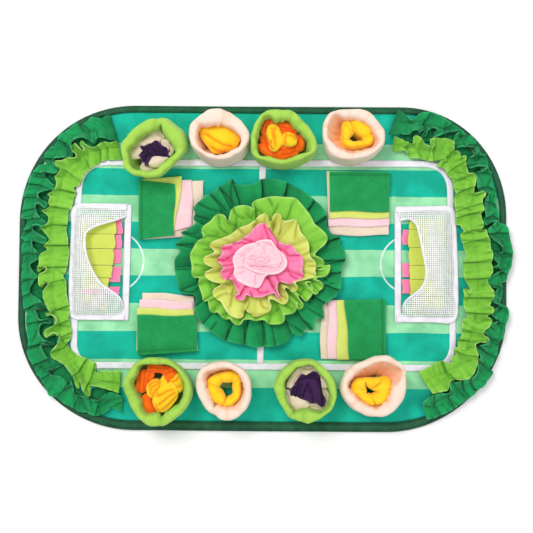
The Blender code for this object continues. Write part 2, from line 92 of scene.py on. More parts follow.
def photo_point(u, v, z):
    """The point at height z that the photograph shows at pixel (u, v)."""
    share = (CAMERA_HEIGHT - z) / CAMERA_HEIGHT
    x = (u - PHOTO_MIDDLE) * PIXEL * share + CAMERA_X
    y = (PHOTO_MIDDLE - v) * PIXEL * share + CAMERA_Y
    return np.array([x * cos(TURN) - y * sin(TURN), x * sin(TURN) + y * cos(TURN)])


def photo_points(pixels, z):
    return np.array([photo_point(u, v, z) for u, v in pixels])


def add_camera():
    data = bpy.data.cameras.new("camera")
    data.lens = CAMERA_LENS
    camera = bpy.data.objects.new("camera", data)
    x = CAMERA_X * cos(TURN) - CAMERA_Y * sin(TURN)
    y = CAMERA_X * sin(TURN) + CAMERA_Y * cos(TURN)
    camera.location = (x, y, CAMERA_HEIGHT)
    camera.rotation_euler = (0, 0, TURN)
    bpy.context.scene.collection.objects.link(camera)
    bpy.context.scene.camera = camera


# ---------------------------------------------------------------- curves and fields
def smooth_rows(rows, between=8, closed=False):
    """The rows with a smooth curve (Catmull-Rom) of further rows between them."""
    rows = np.array(rows, float)
    if closed:
        ends = np.vstack([rows[-1], rows, rows[0], rows[1]])
    else:
        ends = np.vstack([2 * rows[0] - rows[1], rows, 2 * rows[-1] - rows[-2]])
    dense = []
    for before, start, end, after in zip(ends, ends[1:], ends[2:], ends[3:]):
        for step in range(between):
            t = step / between
            bend = 2 * before - 5 * start + 4 * end - after
            twist = 3 * start - before - 3 * end + after
            dense.append(start + 0.5 * t * ((end - before) + t * (bend + t * twist)))
    if not closed:
        dense.append(rows[-1])
    return np.array(dense)


def running(steps):
    """The sum of the steps so far, from 0."""
    return np.concatenate([[0], np.cumsum(steps)])


def rows_at(places, spots, rows):
    """The rows at these places, each row standing at its own spot."""
    return np.stack([np.interp(places, spots, column) for column in rows.T], -1)


def unit(ways):
    return ways / np.linalg.norm(ways, axis=-1, keepdims=True)


def bell(offset, width):
    """1 where the offset is 0, falling smoothly to nothing some two widths away."""
    return np.exp(-((offset / width) ** 2))


class Line:
    """A smooth line through rows that start with x and y, by shares of its length seen from above."""

    def __init__(self, rows, closed=False):
        dense = smooth_rows(rows, closed=closed)
        if closed:
            dense = np.vstack([dense, dense[:1]])
        shares = running(np.hypot(*np.diff(dense[:, :2], axis=0).T))
        self.length = shares[-1]
        self.shares = shares / shares[-1]
        self.rows = dense
        self.closed = closed

    def at(self, share):
        share = share % 1 if self.closed else np.clip(share, 0, 1)
        return rows_at(share, self.shares, self.rows)

    def left_normal(self, share):
        step = 0.012
        ahead = unit(self.at(share + step)[..., :2] - self.at(share - step)[..., :2])
        return np.stack([-ahead[..., 1], ahead[..., 0]], -1)


class Outline:
    """A closed outline round a centre, as a radius for each angle."""

    def __init__(self, points, centre=None):
        dense = smooth_rows(points, between=6, closed=True)
        self.centre = dense.mean(axis=0) if centre is None else np.array(centre)
        around = dense - self.centre
        angles = np.arctan2(around[:, 1], around[:, 0]) % (2 * pi)
        order = np.argsort(angles)
        self.angles = angles[order]
        self.radii = np.hypot(around[:, 0], around[:, 1])[order]

    def radius(self, angle):
        return np.interp(angle % (2 * pi), self.angles, self.radii, period=2 * pi)

    def at(self, angle):
        reach = self.radius(angle)
        return self.centre + np.stack([reach * np.cos(angle), reach * np.sin(angle)], -1)


def ease(share):
    share = np.clip(share, 0, 1)
    return share * share * (3 - 2 * share)


def soft_field(points, size, seed):
    """A smooth random field from -1 to 1 over points, with bumps of about that size."""
    draw = np.random.default_rng(seed)
    total = np.zeros(points.shape[:-1])
    for _ in range(9):
        way = draw.normal(size=points.shape[-1])
        way *= 2 * pi / size * draw.uniform(0.6, 1.4) / np.linalg.norm(way)
        total += np.sin(points @ way + draw.uniform(0, 2 * pi))
    return total / 4.5


# ---------------------------------------------------------------- materials
def linear(colour):
    """A shader colour from a display colour such as "12B3A0"."""
    shares = [int(colour[i : i + 2], 16) / 255 for i in (0, 2, 4)]
    return tuple(s / 12.92 if s <= 0.04045 else ((s + 0.055) / 1.055) ** 2.4 for s in shares) + (1,)


class Nodes:
    """A new material and short ways to add nodes to it."""

    def __init__(self, name, roughness, sheen=0.0):
        self.material = bpy.data.materials.new(name)
        self.material.use_nodes = True
        self.tree = self.material.node_tree
        self.shader = self.tree.nodes["Principled BSDF"]
        self.shader.inputs["Roughness"].default_value = roughness
        self.shader.inputs["Specular IOR Level"].default_value = 0.25
        if sheen:
            self.shader.inputs["Sheen Weight"].default_value = sheen
            self.shader.inputs["Sheen Roughness"].default_value = 0.5
        self.place = self.add("ShaderNodeTexCoord").outputs["Object"]

    def add(self, kind, **settings):
        node = self.tree.nodes.new(kind)
        for key, value in settings.items():
            setattr(node, key, value)
        return node

    def link(self, start, end):
        self.tree.links.new(start, end)

    def math(self, operation, *values):
        node = self.add("ShaderNodeMath", operation=operation)
        for socket, value in zip(node.inputs, values):
            if isinstance(value, (int, float)):
                socket.default_value = value
            else:
                self.link(value, socket)
        return node.outputs[0]

    def noise(self, scale, detail):
        node = self.add("ShaderNodeTexNoise")
        node.inputs["Scale"].default_value = scale
        node.inputs["Detail"].default_value = detail
        self.link(self.place, node.inputs["Vector"])
        return node.outputs["Fac"]

    def spread(self, value, low, high, to_low=0.0, to_high=1.0):
        node = self.add("ShaderNodeMapRange")
        self.link(value, node.inputs["Value"])
        for key, number in (("From Min", low), ("From Max", high), ("To Min", to_low), ("To Max", to_high)):
            node.inputs[key].default_value = number
        return node.outputs["Result"]

    def mix(self, share, first, second, blend="MIX"):
        node = self.add("ShaderNodeMix", data_type="RGBA", blend_type=blend)
        for socket, value in ((0, share), (6, first), (7, second)):
            if isinstance(value, tuple):
                node.inputs[socket].default_value = value
            else:
                self.link(value, node.inputs[socket])
        return node.outputs[2]

    def attribute(self, name):
        return self.add("ShaderNodeAttribute", attribute_name=name).outputs["Fac"]

    def bump(self, height, strength, distance, below=None):
        node = self.add("ShaderNodeBump")
        node.inputs["Strength"].default_value = strength
        node.inputs["Distance"].default_value = distance
        self.link(height, node.inputs["Height"])
        if below is not None:
            self.link(below, node.inputs["Normal"])
        return node.outputs["Normal"]

    def finish(self, colour, normal):
        self.link(colour, self.shader.inputs["Base Color"])
        self.link(normal, self.shader.inputs["Normal"])
        return self.material


def fleece(name, body, shade, edge, fold_shade):
    """Brushed fleece: short pile, soft mottling, paler cut edges with painted highlight, and painted shade down
    in its folds.
    """
    made = Nodes(name, roughness=0.95, sheen=0.15)
    mottle = made.spread(made.noise(55, 3), 0.35, 0.65)
    pile = made.noise(1400, 2)
    tufts = made.spread(made.noise(560, 3), 0.36, 0.64)
    tone = made.math("MULTIPLY_ADD", tufts, 0.55, made.math("MULTIPLY", mottle, 0.45))
    colour = made.mix(tone, linear(shade), linear(body))
    # paler cut edges: the cut edge's own colour, with painted highlight where light catches it
    colour = made.mix(made.attribute("edge"), colour, linear(edge))
    # painted shade: the colour goes towards the fold colour down in folds, creases and hollows
    colour = made.mix(made.attribute("fold_shade"), colour, linear(fold_shade))
    lumps = made.bump(made.noise(300, 3), 0.45, 0.0012)
    return made.finish(colour, made.bump(pile, 0.4, 0.0006, lumps))


RIB_PITCH = 0.0011
STITCH_PITCH = 0.0032
STITCH_HALF_WIDTH = 0.035


def woven_tape(name, body, shade, stitch, stitch_lines):
    """Woven tape with stitch lines at given shares of its width."""
    made = Nodes(name, roughness=0.75)
    across, along = made.attribute("across"), made.attribute("along")
    ribs = made.math("SINE", made.math("MULTIPLY", along, 2 * pi / RIB_PITCH))
    mottle = made.spread(made.noise(90, 2), 0.35, 0.65)
    colour = made.mix(mottle, linear(shade), linear(body))
    beat = made.math("SINE", made.math("MULTIPLY", along, 2 * pi / STITCH_PITCH))
    dash = made.math("GREATER_THAN", beat, -0.4)
    marks = None
    for line in stitch_lines:
        off = made.math("ABSOLUTE", made.math("SUBTRACT", across, line))
        near = made.math("LESS_THAN", off, STITCH_HALF_WIDTH)
        here = made.math("MULTIPLY", near, dash)
        marks = here if marks is None else made.math("MAXIMUM", marks, here)
    colour = made.mix(made.math("MULTIPLY", marks, 0.6), colour, linear(stitch))
    weave = made.bump(ribs, 0.25, 0.0003)
    return made.finish(colour, made.bump(marks, 0.5, 0.0004, weave))


# Display colours of each fleece: body, darker mottle, paler cut edge with painted highlight, painted shade in a
# fold.
FLEECES = {
    "green": ("1FAC60", "149052", "3AC07A", "04341F"),
    "flap_green": ("22A058", "188647", "33AF68", "0E5A30"),
    "lime": ("96D850", "7EC43A", "B4E478", "3C8A1C"),
    "cup_lime": ("B0DA5E", "9CCE4A", "C0E47C", "74A432"),
    # the warm cream fold colour is painted shade and painted reflection of the yellow fillings
    "cream": ("FBE5D5", "F6DAC7", "FFF0E6", "FFA050"),
    "beige": ("F1DFCB", "E6CDB2", "FBF0E2", "B89A82"),
    "yellow_green": ("DFE77A", "D0DC62", "EAF09A", "A09C28"),
    "tab_yellow_green": ("D6E266", "CBD955", "DEE87C", "A8B034"),
    "pink": ("FBD6DD", "F6C8D1", "FFE7EA", "E9A6B4"),
    "rose": ("FFD2DC", "FBC3D0", "FFE4EA", "EA8FAA"),
    "hot_pink": ("FF8DB8", "FA7AAA", "FFB4D0", "C81F5E"),
    "yellow": ("FFDB2C", "FFCC18", "FFE75C", "EE7E06"),
    # the saturated orange fold colour is painted shade with painted reflection between its folds
    "orange": ("FF7C10", "FF680A", "FF9634", "E63E06"),
    "purple": ("4C2462", "341446", "74488C", "0F0316"),
}
# Where the printed stripes change, from the near side: teal first, then pale and teal by turns.
STRIPE_EDGES = (-0.1839, -0.1415, -0.0980, -0.0559, -0.0129, 0.0276, 0.0701, 0.1107, 0.1518, 0.1911)
# Printed arcs: centre x and y, radius, and the side of x that they show on.
ARCS = ((-0.2288, 0.0095, 0.0461, -1), (0.2250, 0.0080, 0.0436, 1))
ARC_HALF_WIDTH = 0.0012
ARC_END_X = 0.2040
WEAVE_PITCH = 0.0014


def printed_cloth():
    """The mat's printed top: stripes across, two white arcs, weave, and painted shade in the soft dents of
    quilted cloth.
    """
    made = Nodes("printed_cloth", roughness=0.8)
    axes = made.add("ShaderNodeSeparateXYZ")
    made.link(made.place, axes.inputs[0])
    x, y = axes.outputs["X"], axes.outputs["Y"]
    waver = made.spread(made.noise(14, 2), 0.3, 0.7, -0.0007, 0.0007)
    share = made.spread(made.math("ADD", y, waver), -MAT_WIDTH / 2, MAT_WIDTH / 2)
    ramp = made.add("ShaderNodeValToRGB")
    ramp.color_ramp.interpolation = "CONSTANT"
    teal, pale = linear("0FBEA4"), linear("A6EDB8")
    ramp.color_ramp.elements[0].color = teal
    for number, edge in enumerate(STRIPE_EDGES):
        ramp.color_ramp.elements.new(edge / MAT_WIDTH + 0.5).color = teal if number % 2 else pale
    ramp.color_ramp.elements[-1].color = teal
    made.link(share, ramp.inputs[0])
    colour = ramp.outputs[0]
    for centre_x, centre_y, radius, side in ARCS:
        from_x = made.math("SUBTRACT", x, centre_x)
        from_y = made.math("SUBTRACT", y, centre_y)
        squares = made.math(
            "ADD", made.math("MULTIPLY", from_x, from_x), made.math("MULTIPLY", from_y, from_y)
        )
        off = made.math("ABSOLUTE", made.math("SUBTRACT", made.math("SQRT", squares), radius))
        inside = made.math("LESS_THAN", made.math("MULTIPLY", x, side), ARC_END_X)
        arc = made.math("MULTIPLY", made.math("LESS_THAN", off, ARC_HALF_WIDTH), inside)
        colour = made.mix(arc, colour, linear("F6FBF7"))
    # painted shade: random soft dents darkened towards a dull teal
    dents = made.spread(made.noise(26, 3), 0.38, 0.62)
    dent_shade = made.math("MULTIPLY", made.math("SUBTRACT", 1.0, dents), 0.40)
    colour = made.mix(dent_shade, colour, linear("3FA898"), "MULTIPLY")
    weave_x = made.math("SINE", made.math("MULTIPLY", x, 2 * pi / WEAVE_PITCH))
    weave_y = made.math("SINE", made.math("MULTIPLY", y, 2 * pi / WEAVE_PITCH))
    soft = made.bump(made.noise(30, 3), 0.35, 0.004)
    return made.finish(colour, made.bump(made.math("MULTIPLY", weave_x, weave_y), 0.2, 0.0003, soft))


def net_yarn():
    made = Nodes("net_yarn", roughness=0.6)
    colour = made.mix(made.spread(made.noise(120, 2), 0.35, 0.65), linear("F0F0F5"), linear("FFFFFF"))
    return made.finish(colour, made.bump(made.noise(2200, 1), 0.2, 0.0002))


MATERIALS = {name: fleece(name + "_fleece", *tones) for name, tones in FLEECES.items()}
MATERIALS["print"] = printed_cloth()
MATERIALS["net"] = net_yarn()
MATERIALS["tape"] = woven_tape("white_woven_tape", "F7F4FB", "EAE5F1", "FFFFFF", (0.12, 0.88))
MATERIALS["binding"] = woven_tape("binding_tape", "205A3C", "15462D", "4C8E6A", (0.42, 0.60))


# ---------------------------------------------------------------- meshes
def grid_faces(shape, start=0, closed_u=False):
    index = np.arange(shape[0] * shape[1]).reshape(shape) + start
    if closed_u:
        index = np.vstack([index, index[:1]])
    return np.stack([index[:-1, :-1], index[1:, :-1], index[1:, 1:], index[:-1, 1:]], -1).reshape(-1, 4)


def thicken(piece, thickness, offset=0):
    solid = piece.modifiers.new("Thickness", "SOLIDIFY")
    solid.thickness = thickness
    solid.offset = offset


def dress(name, mesh, finish, nodes, thickness):
    """The object of a mesh with its finish, as a sheet where it has a thickness. It replaces the CAD nodes."""
    mesh.materials.append(MATERIALS[finish])
    piece = bpy.data.objects.new(name, mesh)
    bpy.context.scene.collection.objects.link(piece)
    if thickness:
        thicken(piece, thickness)
    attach(piece, "root")
    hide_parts(*nodes)
    return piece


def add_piece(name, finish, nodes, patches, thickness=None, closed_u=False, capped=False):
    """One object from grids of points.

    Each patch is an array of points [u, v] or such an array with named values for its points. A capped patch is
    round, and the hole inside its first ring is closed.
    """
    points, faces, values, count = [], [], {}, 0
    for patch in patches:
        grid, named = patch if isinstance(patch, tuple) else (patch, {})
        columns, rows = grid.shape[:2]
        faces += grid_faces((columns, rows), count, closed_u).tolist()
        points.append(grid.reshape(-1, 3))
        for key in ("edge", "across", "along", "fold_shade"):
            value = np.broadcast_to(named.get(key, 0.0), grid.shape[:2]).reshape(-1)
            values.setdefault(key, []).append(np.append(value, value[0]) if capped else value)
        if capped:
            ring = count + rows * np.arange(columns)
            middle = np.full(columns, count + columns * rows)
            faces += np.column_stack([np.roll(ring, -1), ring, middle]).tolist()
            points.append(grid[:, 0].mean(axis=0)[None])
        count += columns * rows + capped
    mesh = bpy.data.meshes.new(name)
    mesh.from_pydata(np.vstack(points).tolist(), [], faces)
    for key, parts in values.items():
        whole = np.concatenate(parts).astype(np.float32)
        if whole.any():
            mesh.attributes.new(key, "FLOAT", "POINT").data.foreach_set("value", whole)
    mesh.shade_smooth()
    return dress(name, mesh, finish, nodes, thickness)


def unit_grid(columns, rows):
    """The shares u and v of a sheet of this many points, from 0 to 1."""
    return np.meshgrid(np.linspace(0, 1, columns), np.linspace(0, 1, rows), indexing="ij")


def edge_values(columns, rows):
    """1 on the outer rows of a sheet of this many points and 0 inside, for its paler cut edges with painted
    highlight.
    """
    value = np.ones((columns, rows))
    value[1:-1, 1:-1] = 0
    return value


# ---------------------------------------------------------------- mat, binding and tapes
def on_corner(number, angle, inset):
    """A point of one rounded corner of the mat, so far inside its outline."""
    side_x, side_y, radius = MAT_CORNERS[number % 4]
    x = side_x * (MAT_LENGTH / 2 - radius) + (radius - inset) * cos(angle)
    y = side_y * (MAT_WIDTH / 2 - radius) + (radius - inset) * sin(angle)
    return x, y


def mat_edge(share, inset):
    """Points of the mat's outline, so far inside it."""
    corner_steps, side_steps = 24, 8
    points = []
    for quarter in range(4):
        turns = [(quarter + step / corner_steps) * pi / 2 for step in range(corner_steps + 1)]
        points += [on_corner(quarter, angle, inset) for angle in turns]
        start, end = points[-1], on_corner(quarter + 1, turns[-1], inset)
        for step in range(1, side_steps):
            along = step / side_steps
            points.append((start[0] + (end[0] - start[0]) * along, start[1] + (end[1] - start[1]) * along))
    rows = np.array(points + points[:1])
    return rows_at(share, np.linspace(0, 1, len(rows)), rows)


def waved_edge(share, inset):
    wave = EDGE_WAVE * (1 + np.sin(2 * pi * EDGE_WAVES * share + 0.7))
    outer, inner = mat_edge(share, inset), mat_edge(share, inset + 2 * EDGE_WAVE)
    return outer + (inner - outer) * (wave / (2 * EDGE_WAVE))[..., None]


def add_base_mat():
    columns, rows = 256, 42
    share = np.arange(columns) / columns
    edge = waved_edge(share, 0.002)
    spine = np.stack([np.clip(edge[:, 0], -0.10, 0.10), np.zeros(columns)], -1)
    inward = np.linspace(0, 1, rows)[None, :, None]
    place = edge[:, None] * (1 - inward) + spine[:, None] * inward
    top = MAT_THICKNESS - 0.0012 + 0.0010 * (0.5 + 0.5 * soft_field(place, 0.075, SEEDS["mat"]))
    piece = add_piece("mat_cloth", "print", ["base_mat"], [np.dstack([place, top])], closed_u=True)
    thicken(piece, QUILT, offset=-1)


def binding_width(point):
    return BINDING_WIDTH + BINDING_EXTRA_NEAR_SIDE * np.maximum(0, -point[..., 1] / (MAT_WIDTH / 2)) ** 4


# Section of the binding from its inner edge below, round the outside, to its inner edge above: share of its
# width, inset, height.
BINDING_SECTION = (
    (1.0, 0.0, 0.0004), (0.5, 0.0, 0.0004), (0.0, 0.0016, 0.0005), (0.0, 0.0004, 0.0014),
    (0.0, 0.0002, 0.0026), (0.0, 0.0010, 0.0040), (0.0, 0.0030, 0.0048), (0.35, 0.0020, 0.0050),
    (0.7, 0.0010, 0.0048), (1.0, 0.0, 0.0045),
)


def add_binding():
    columns, reach = 512, 0.02
    share = np.arange(columns) / columns
    width = binding_width(mat_edge(share, 0))[:, None]
    of_width, inset, height = np.array(BINDING_SECTION).T
    inset = of_width * width + inset
    upper = height > 0.003
    spots = np.stack([waved_edge(share, 0), waved_edge(share, reach)], 1)
    place = spots[:, :1] + (spots[:, 1:] - spots[:, :1]) * (inset / reach)[..., None]
    lift = 0.0002 * soft_field(place, 0.02, SEEDS["binding"])
    z = height + np.maximum(lift, 0) * upper
    steps = np.linalg.norm(np.diff(place[:, 4], axis=0, append=place[:1, 4]), axis=-1)
    along = np.broadcast_to((np.cumsum(steps) - steps)[:, None], inset.shape)
    patch = (np.dstack([place, z]), {"along": along, "across": inset / width * upper})
    piece = add_piece("mat_binding", "binding", ["edge_binding"], [patch], BINDING_CLOTH, closed_u=True)


def pitch_edge():
    """The middle line of the pitch's taped outline."""
    points = []
    for number, corner in enumerate(PITCH_CORNERS):
        here, reach = np.array(corner[:2]), corner[2]
        following = PITCH_CORNERS[(number + 1) % 4]
        before = np.array(PITCH_CORNERS[number - 1][:2]) - here
        after = np.array(following[:2]) - here
        start = here + before * reach / hypot(*before)
        end = here + after * reach / hypot(*after)
        for t in np.linspace(0, 1, 9):
            points.append((1 - t) ** 2 * start + 2 * t * (1 - t) * here + t**2 * end)
        room = np.array(following[:2]) - after * following[2] / hypot(*after)
        for t in np.linspace(0, 1, 7)[1:-1]:
            points.append(end + (room - end) * t)
    return points


def tape_patch(line, share, width, rows):
    """A tape along a line through space, level across, with its places along and across."""
    middle, normal = line.at(share), line.left_normal(share)
    across = np.linspace(0, 1, rows)
    place = middle[:, None, :2] + normal[:, None] * ((across - 0.5) * width)[None, :, None]
    z = np.broadcast_to(middle[:, 2:], place.shape[:2])
    along = np.broadcast_to((share * line.length)[:, None], z.shape)
    return np.dstack([place, z]), {"along": along, "across": np.broadcast_to(across, z.shape)}


def add_tape(name, node, rows, columns, z=ON_MAT + TAPE_CLOTH / 2, closed=False):
    """A tape sewn flat on the mat, slightly puckered, with its edges pulled down."""
    line = Line([(x, y, z) for x, y in rows], closed)
    share = np.arange(columns) / columns if closed else np.linspace(0, 1, columns)
    grid, values = tape_patch(line, share, TAPE_WIDTH, 6)
    pucker = 0.00025 * soft_field(grid[..., :2], 0.012, SEEDS["tape"])
    grid[..., 2] += pucker - 0.0002 * (np.abs(values["across"] - 0.5) > 0.45)
    piece = add_piece(name, "tape", [node], [(grid, values)], TAPE_CLOTH, closed_u=closed)


GOAL_LINES = {
    "left": ((-0.2062, 0.0965), (-0.2080, 0.0100), (-0.2100, -0.0812)),
    "right": ((0.2070, 0.0950), (0.2077, 0.0060), (0.2085, -0.0822)),
}


def add_tapes():
    add_tape("pitch_tape", "tape_pitch_outline", pitch_edge(), 420, closed=True)
    centre = ((-0.0008, 0.1570), (-0.0015, 0.0050), (-0.0024, -0.1460))
    add_tape("centre_tape", "tape_centre_line", centre, 90)
    for side, rows in GOAL_LINES.items():
        add_tape("goal_post_" + side, "tape_goal_" + side, rows, 60, z=ON_TAPE)


# ---------------------------------------------------------------- goals
NETS = {
    "left": {
        "sewn": (
            (-0.2080, 0.0930), (-0.2480, 0.0930), (-0.2830, 0.0925), (-0.2872, 0.0850), (-0.2895, 0.0350),
            (-0.2915, -0.0150), (-0.2915, -0.0620), (-0.2905, -0.0725), (-0.2860, -0.0757), (-0.2480, -0.0760),
            (-0.2110, -0.0760),
        ),
        "open": (
            (-0.2090, 0.0790), (-0.2270, 0.0715), (-0.2500, 0.0640), (-0.2670, 0.0540), (-0.2675, 0.0300),
            (-0.2590, 0.0000), (-0.2440, -0.0250), (-0.2240, -0.0390), (-0.2150, -0.0500), (-0.2125, -0.0620),
        ),
    },
    "right": {
        "sewn": (
            (0.2030, 0.0915), (0.2470, 0.0925), (0.2830, 0.0925), (0.2895, 0.0830), (0.2932, 0.0350),
            (0.2950, -0.0150), (0.2957, -0.0600), (0.2950, -0.0720), (0.2900, -0.0758), (0.2500, -0.0760),
            (0.2060, -0.0760),
        ),
        "open": (
            (0.2090, 0.0755), (0.2230, 0.0775), (0.2330, 0.0690), (0.2380, 0.0500), (0.2425, 0.0250),
            (0.2470, -0.0040), (0.2430, -0.0250), (0.2290, -0.0380), (0.2160, -0.0520), (0.2150, -0.0640),
        ),
    },
}
NET_HEIGHT = 0.025
NET_CREST = 0.68
NET_PITCH = 0.0031
NET_HOLE = 0.00190
NET_THICKNESS = 0.0006
NET_MOUTH_WIDTH = 0.0031
NET_HEM_WIDTH = 0.0095
NET_HEM_Z = ON_TAPE + 0.0016


def net_surface(side, columns, rows):
    """Points of the slack net from its sewn edge, v = 0, to its open edge, v = 1."""
    sewn, opened = Line(NETS[side]["sewn"]), Line(NETS[side]["open"])
    u, v = unit_grid(columns, rows)
    place = sewn.at(u) + (opened.at(u) - sewn.at(u)) * v[..., None]
    arch = np.sin(pi * u) ** 0.7
    slack = 1 + 0.08 * np.sin(5 * pi * u) * v
    z = ON_TAPE + 0.0005 + NET_HEIGHT * arch * np.sin(pi * NET_CREST * v) * slack
    return np.dstack([place, z])


def inside_outline(points, outline):
    """Which points lie inside a closed outline."""
    within = np.zeros(len(points), bool)
    for start, end in zip(outline, np.roll(outline, -1, axis=0)):
        crosses = (start[1] > points[:, 1]) != (end[1] > points[:, 1])
        with np.errstate(divide="ignore", invalid="ignore"):
            x = start[0] + (points[:, 1] - start[1]) / (end[1] - start[1]) * (end[0] - start[0])
        within ^= crosses & (points[:, 0] < x)
    return within


def add_net(side):
    """A square mesh of strands over the net's surface: a frame round each hole between four knots."""
    surface = net_surface(side, 81, 41)
    outline = np.vstack([surface[:, 0, :2], surface[::-1, -1, :2]])
    surface = surface.reshape(-1, 3)
    low, high = outline.min(axis=0), outline.max(axis=0)
    columns, rows = (np.ceil((high - low) / NET_PITCH) + 1).astype(int)
    flat = np.stack(np.meshgrid(np.arange(columns), np.arange(rows), indexing="ij"), -1).reshape(-1, 2)
    flat = low + flat * NET_PITCH
    away = np.linalg.norm(flat[:, None] - surface[None, :, :2], axis=-1)
    near = np.argsort(away, axis=1)[:, :6]
    weight = 1 / (np.take_along_axis(away, near, 1) + 0.0008) ** 2
    z = (surface[near, 2] * weight).sum(1) / weight.sum(1)
    z += 0.0012 * soft_field(np.column_stack([flat, z]), 0.03, SEEDS["net_" + side])
    faces = grid_faces((columns, rows))
    middles = flat[faces].mean(axis=1)
    faces = faces[inside_outline(middles, outline)]
    knots = np.column_stack([flat, np.maximum(z, ON_TAPE)])
    used, cells = np.unique(faces, return_inverse=True)
    knots, cells = knots[used], cells.reshape(-1, 4)
    corners = knots[cells]
    middle = corners.mean(axis=1, keepdims=True)
    holes = middle + (corners - middle) * (NET_HOLE / NET_PITCH)
    rims = len(knots) + np.arange(cells.size).reshape(-1, 4)
    strands = np.stack([cells, np.roll(cells, -1, 1), np.roll(rims, -1, 1), rims], -1).reshape(-1, 4)
    mesh = bpy.data.meshes.new("net_mesh_" + side)
    mesh.from_pydata(np.vstack([knots, holes.reshape(-1, 3)]).tolist(), [], strands.tolist())
    piece = dress("goal_net_" + side, mesh, "net", ["net_" + side], NET_THICKNESS)


def add_net_tapes(side):
    """The tape round the net's mouth, and the hem tape over its sewn edge."""
    surface = net_surface(side, 61, 2)[::5]
    share = np.linspace(0, 1, 120)
    mouth, sewn = Line(surface[:, 1] + (0, 0, 0.0006)), Line(surface[:, 0] * (1, 1, 0) + (0, 0, NET_HEM_Z))
    patch = tape_patch(mouth, share, NET_MOUTH_WIDTH, 5)
    rim = add_piece("net_mouth_" + side, "tape", [], [patch], NET_TAPE_CLOTH)
    patch = tape_patch(sewn, share, NET_HEM_WIDTH, 5)
    hem = add_piece("net_hem_" + side, "tape", [], [patch], NET_TAPE_CLOTH)


# Goal tabs: the header's x and width in metres and, for each tab from the far one, its far y, near y and free
# end's x in millimetres.
TABS = {
    "yellow_left": (
        -0.277, 0.007,
        (
            (76, 51.3, -224.0), (50.8, 28.8, -225.5), (28.2, 3.6, -227.5),
            (3.0, -15.6, -230.0), (-16.2, -33.8, -235.0),
        ),
    ),
    "pink_left": (
        -0.277, 0.020,
        (
            (73, 50.9, -215.0), (49.8, 29.2, -216.0), (27.9, 6.1, -217.0),
            (1.4, -22.4, -217.5), (-29.6, -40.8, -219.0),
        ),
    ),
    "yellow_right": (
        0.279, 0.007,
        (
            (78.0, 61.6, 224.0), (61.1, 33.8, 222.5), (33.3, 6.6, 224.0),
            (6.1, -15.1, 225.0), (-15.6, -38.9, 226.0),
        ),
    ),
    "pink_right": (
        0.279, 0.020,
        (
            (73.0, 63.5, 226.0), (60.9, 38.0, 214.0), (33.0, 11.5, 227.0),
            (10.0, -11.7, 214.5), (-15.1, -36.9, 214.5),
        ),
    ),
    "under_net_left": (-0.277, 0.007, ((-43.0, -66.0, -238.0),)),
    "under_net_right": (0.279, 0.007, ((-41.0, -66.0, 229.0),)),
}


def add_tabs(name, finish, layer):
    header_x, header_width, tabs = TABS[name]
    z = ON_MAT + FLEECE / 2 + layer * LAYER_STEP
    patches = []
    far, near = tabs[0][0] / 1000, tabs[-1][1] / 1000
    inward = -1 if header_x > 0 else 1
    u, v = unit_grid(17, 28)
    for number, (far_y, near_y, end_x) in enumerate(tabs):
        x = header_x + (end_x / 1000 - header_x) * v
        y = (far_y + (near_y - far_y) * u) / 1000
        x = x - inward * 0.0008 * np.sin(2 * pi * u + number) * v
        curl = 0.0022 * layer * v**2 + 0.0006 * np.sin(pi * u + number) * v
        # paler cut edges, partly painted highlight
        patches.append((np.dstack([x, y, z + curl]), {"edge": edge_values(*u.shape) * 0.6}))
    u, v = unit_grid(60, 6)
    header_place = (header_x + inward * header_width * v, far + (near - far) * u)
    patches.append(np.dstack([*header_place, z + 0.0001 + 0 * u]))
    nodes = [] if name.startswith("under_net") else ["tabs_" + name]
    piece = add_piece("goal_tabs_" + name, finish, nodes, patches, FLEECE)


def add_goals():
    for side in ("left", "right"):
        add_net(side)
        add_net_tapes(side)
        add_tabs("yellow_" + side, "tab_yellow_green", 1)
        add_tabs("pink_" + side, "hot_pink", 0)
        add_tabs("under_net_" + side, "tab_yellow_green", 0)


# ---------------------------------------------------------------- flaps
FLAP_LAYERS = ("green", "yellow", "pink", "beige")
# Corners of each flap in photo pixels, round from the seam: two on the seam, then those along the free end.
FLAPS = {
    "far_left": {
        "green": ((138.6, 239.8), (138.9, 180.0), (175.2, 184.0), (173.6, 235.4)),
        "yellow": ((138.4, 238.6), (142.0, 179.4), (182.5, 176.2), (174.4, 231.5)),
        "pink": ((138.4, 239.2), (142.0, 180.6), (192.3, 180.0), (192.6, 226.8)),
        "beige": ((138.4, 239.6), (142.0, 181.4), (204.0, 180.8), (203.0, 236.0)),
    },
    "far_right": {
        "green": ((329.3, 171.6), (389.8, 171.6), (389.0, 212.0), (329.9, 211.2)),
        "yellow": ((328.2, 171.2), (389.0, 171.6), (389.0, 218.3), (329.2, 218.6)),
        "pink": ((327.4, 171.2), (389.0, 171.6), (389.2, 226.3), (328.0, 227.0)),
        "beige": ((326.6, 171.2), (388.6, 171.6), (388.6, 235.4), (328.6, 235.6)),
    },
    "near_left": {
        "green": ((197.2, 351.2), (137.4, 355.4), (137.2, 315.0), (196.8, 315.6)),
        "yellow": ((197.4, 350.6), (136.6, 350.8), (137.2, 307.8), (194.2, 309.6)),
        "pink": ((198.0, 350.4), (138.4, 351.8), (139.8, 299.0), (192.8, 301.8)),
        "beige": ((197.8, 350.4), (139.0, 351.8), (142.7, 292.0), (193.9, 295.6)),
    },
    "near_right": {
        "green": ((385.6, 299.0), (385.8, 359.8), (349.4, 359.6), (344.6, 300.0)),
        "yellow": ((385.0, 299.4), (385.0, 359.6), (337.2, 359.6), (337.0, 300.2)),
        "pink": ((384.6, 299.4), (384.6, 359.2), (327.6, 359.0), (327.8, 300.2)),
        "beige": ((384.2, 299.4), (384.2, 358.8), (320.2, 359.0), (321.0, 302.0)),
    },
}


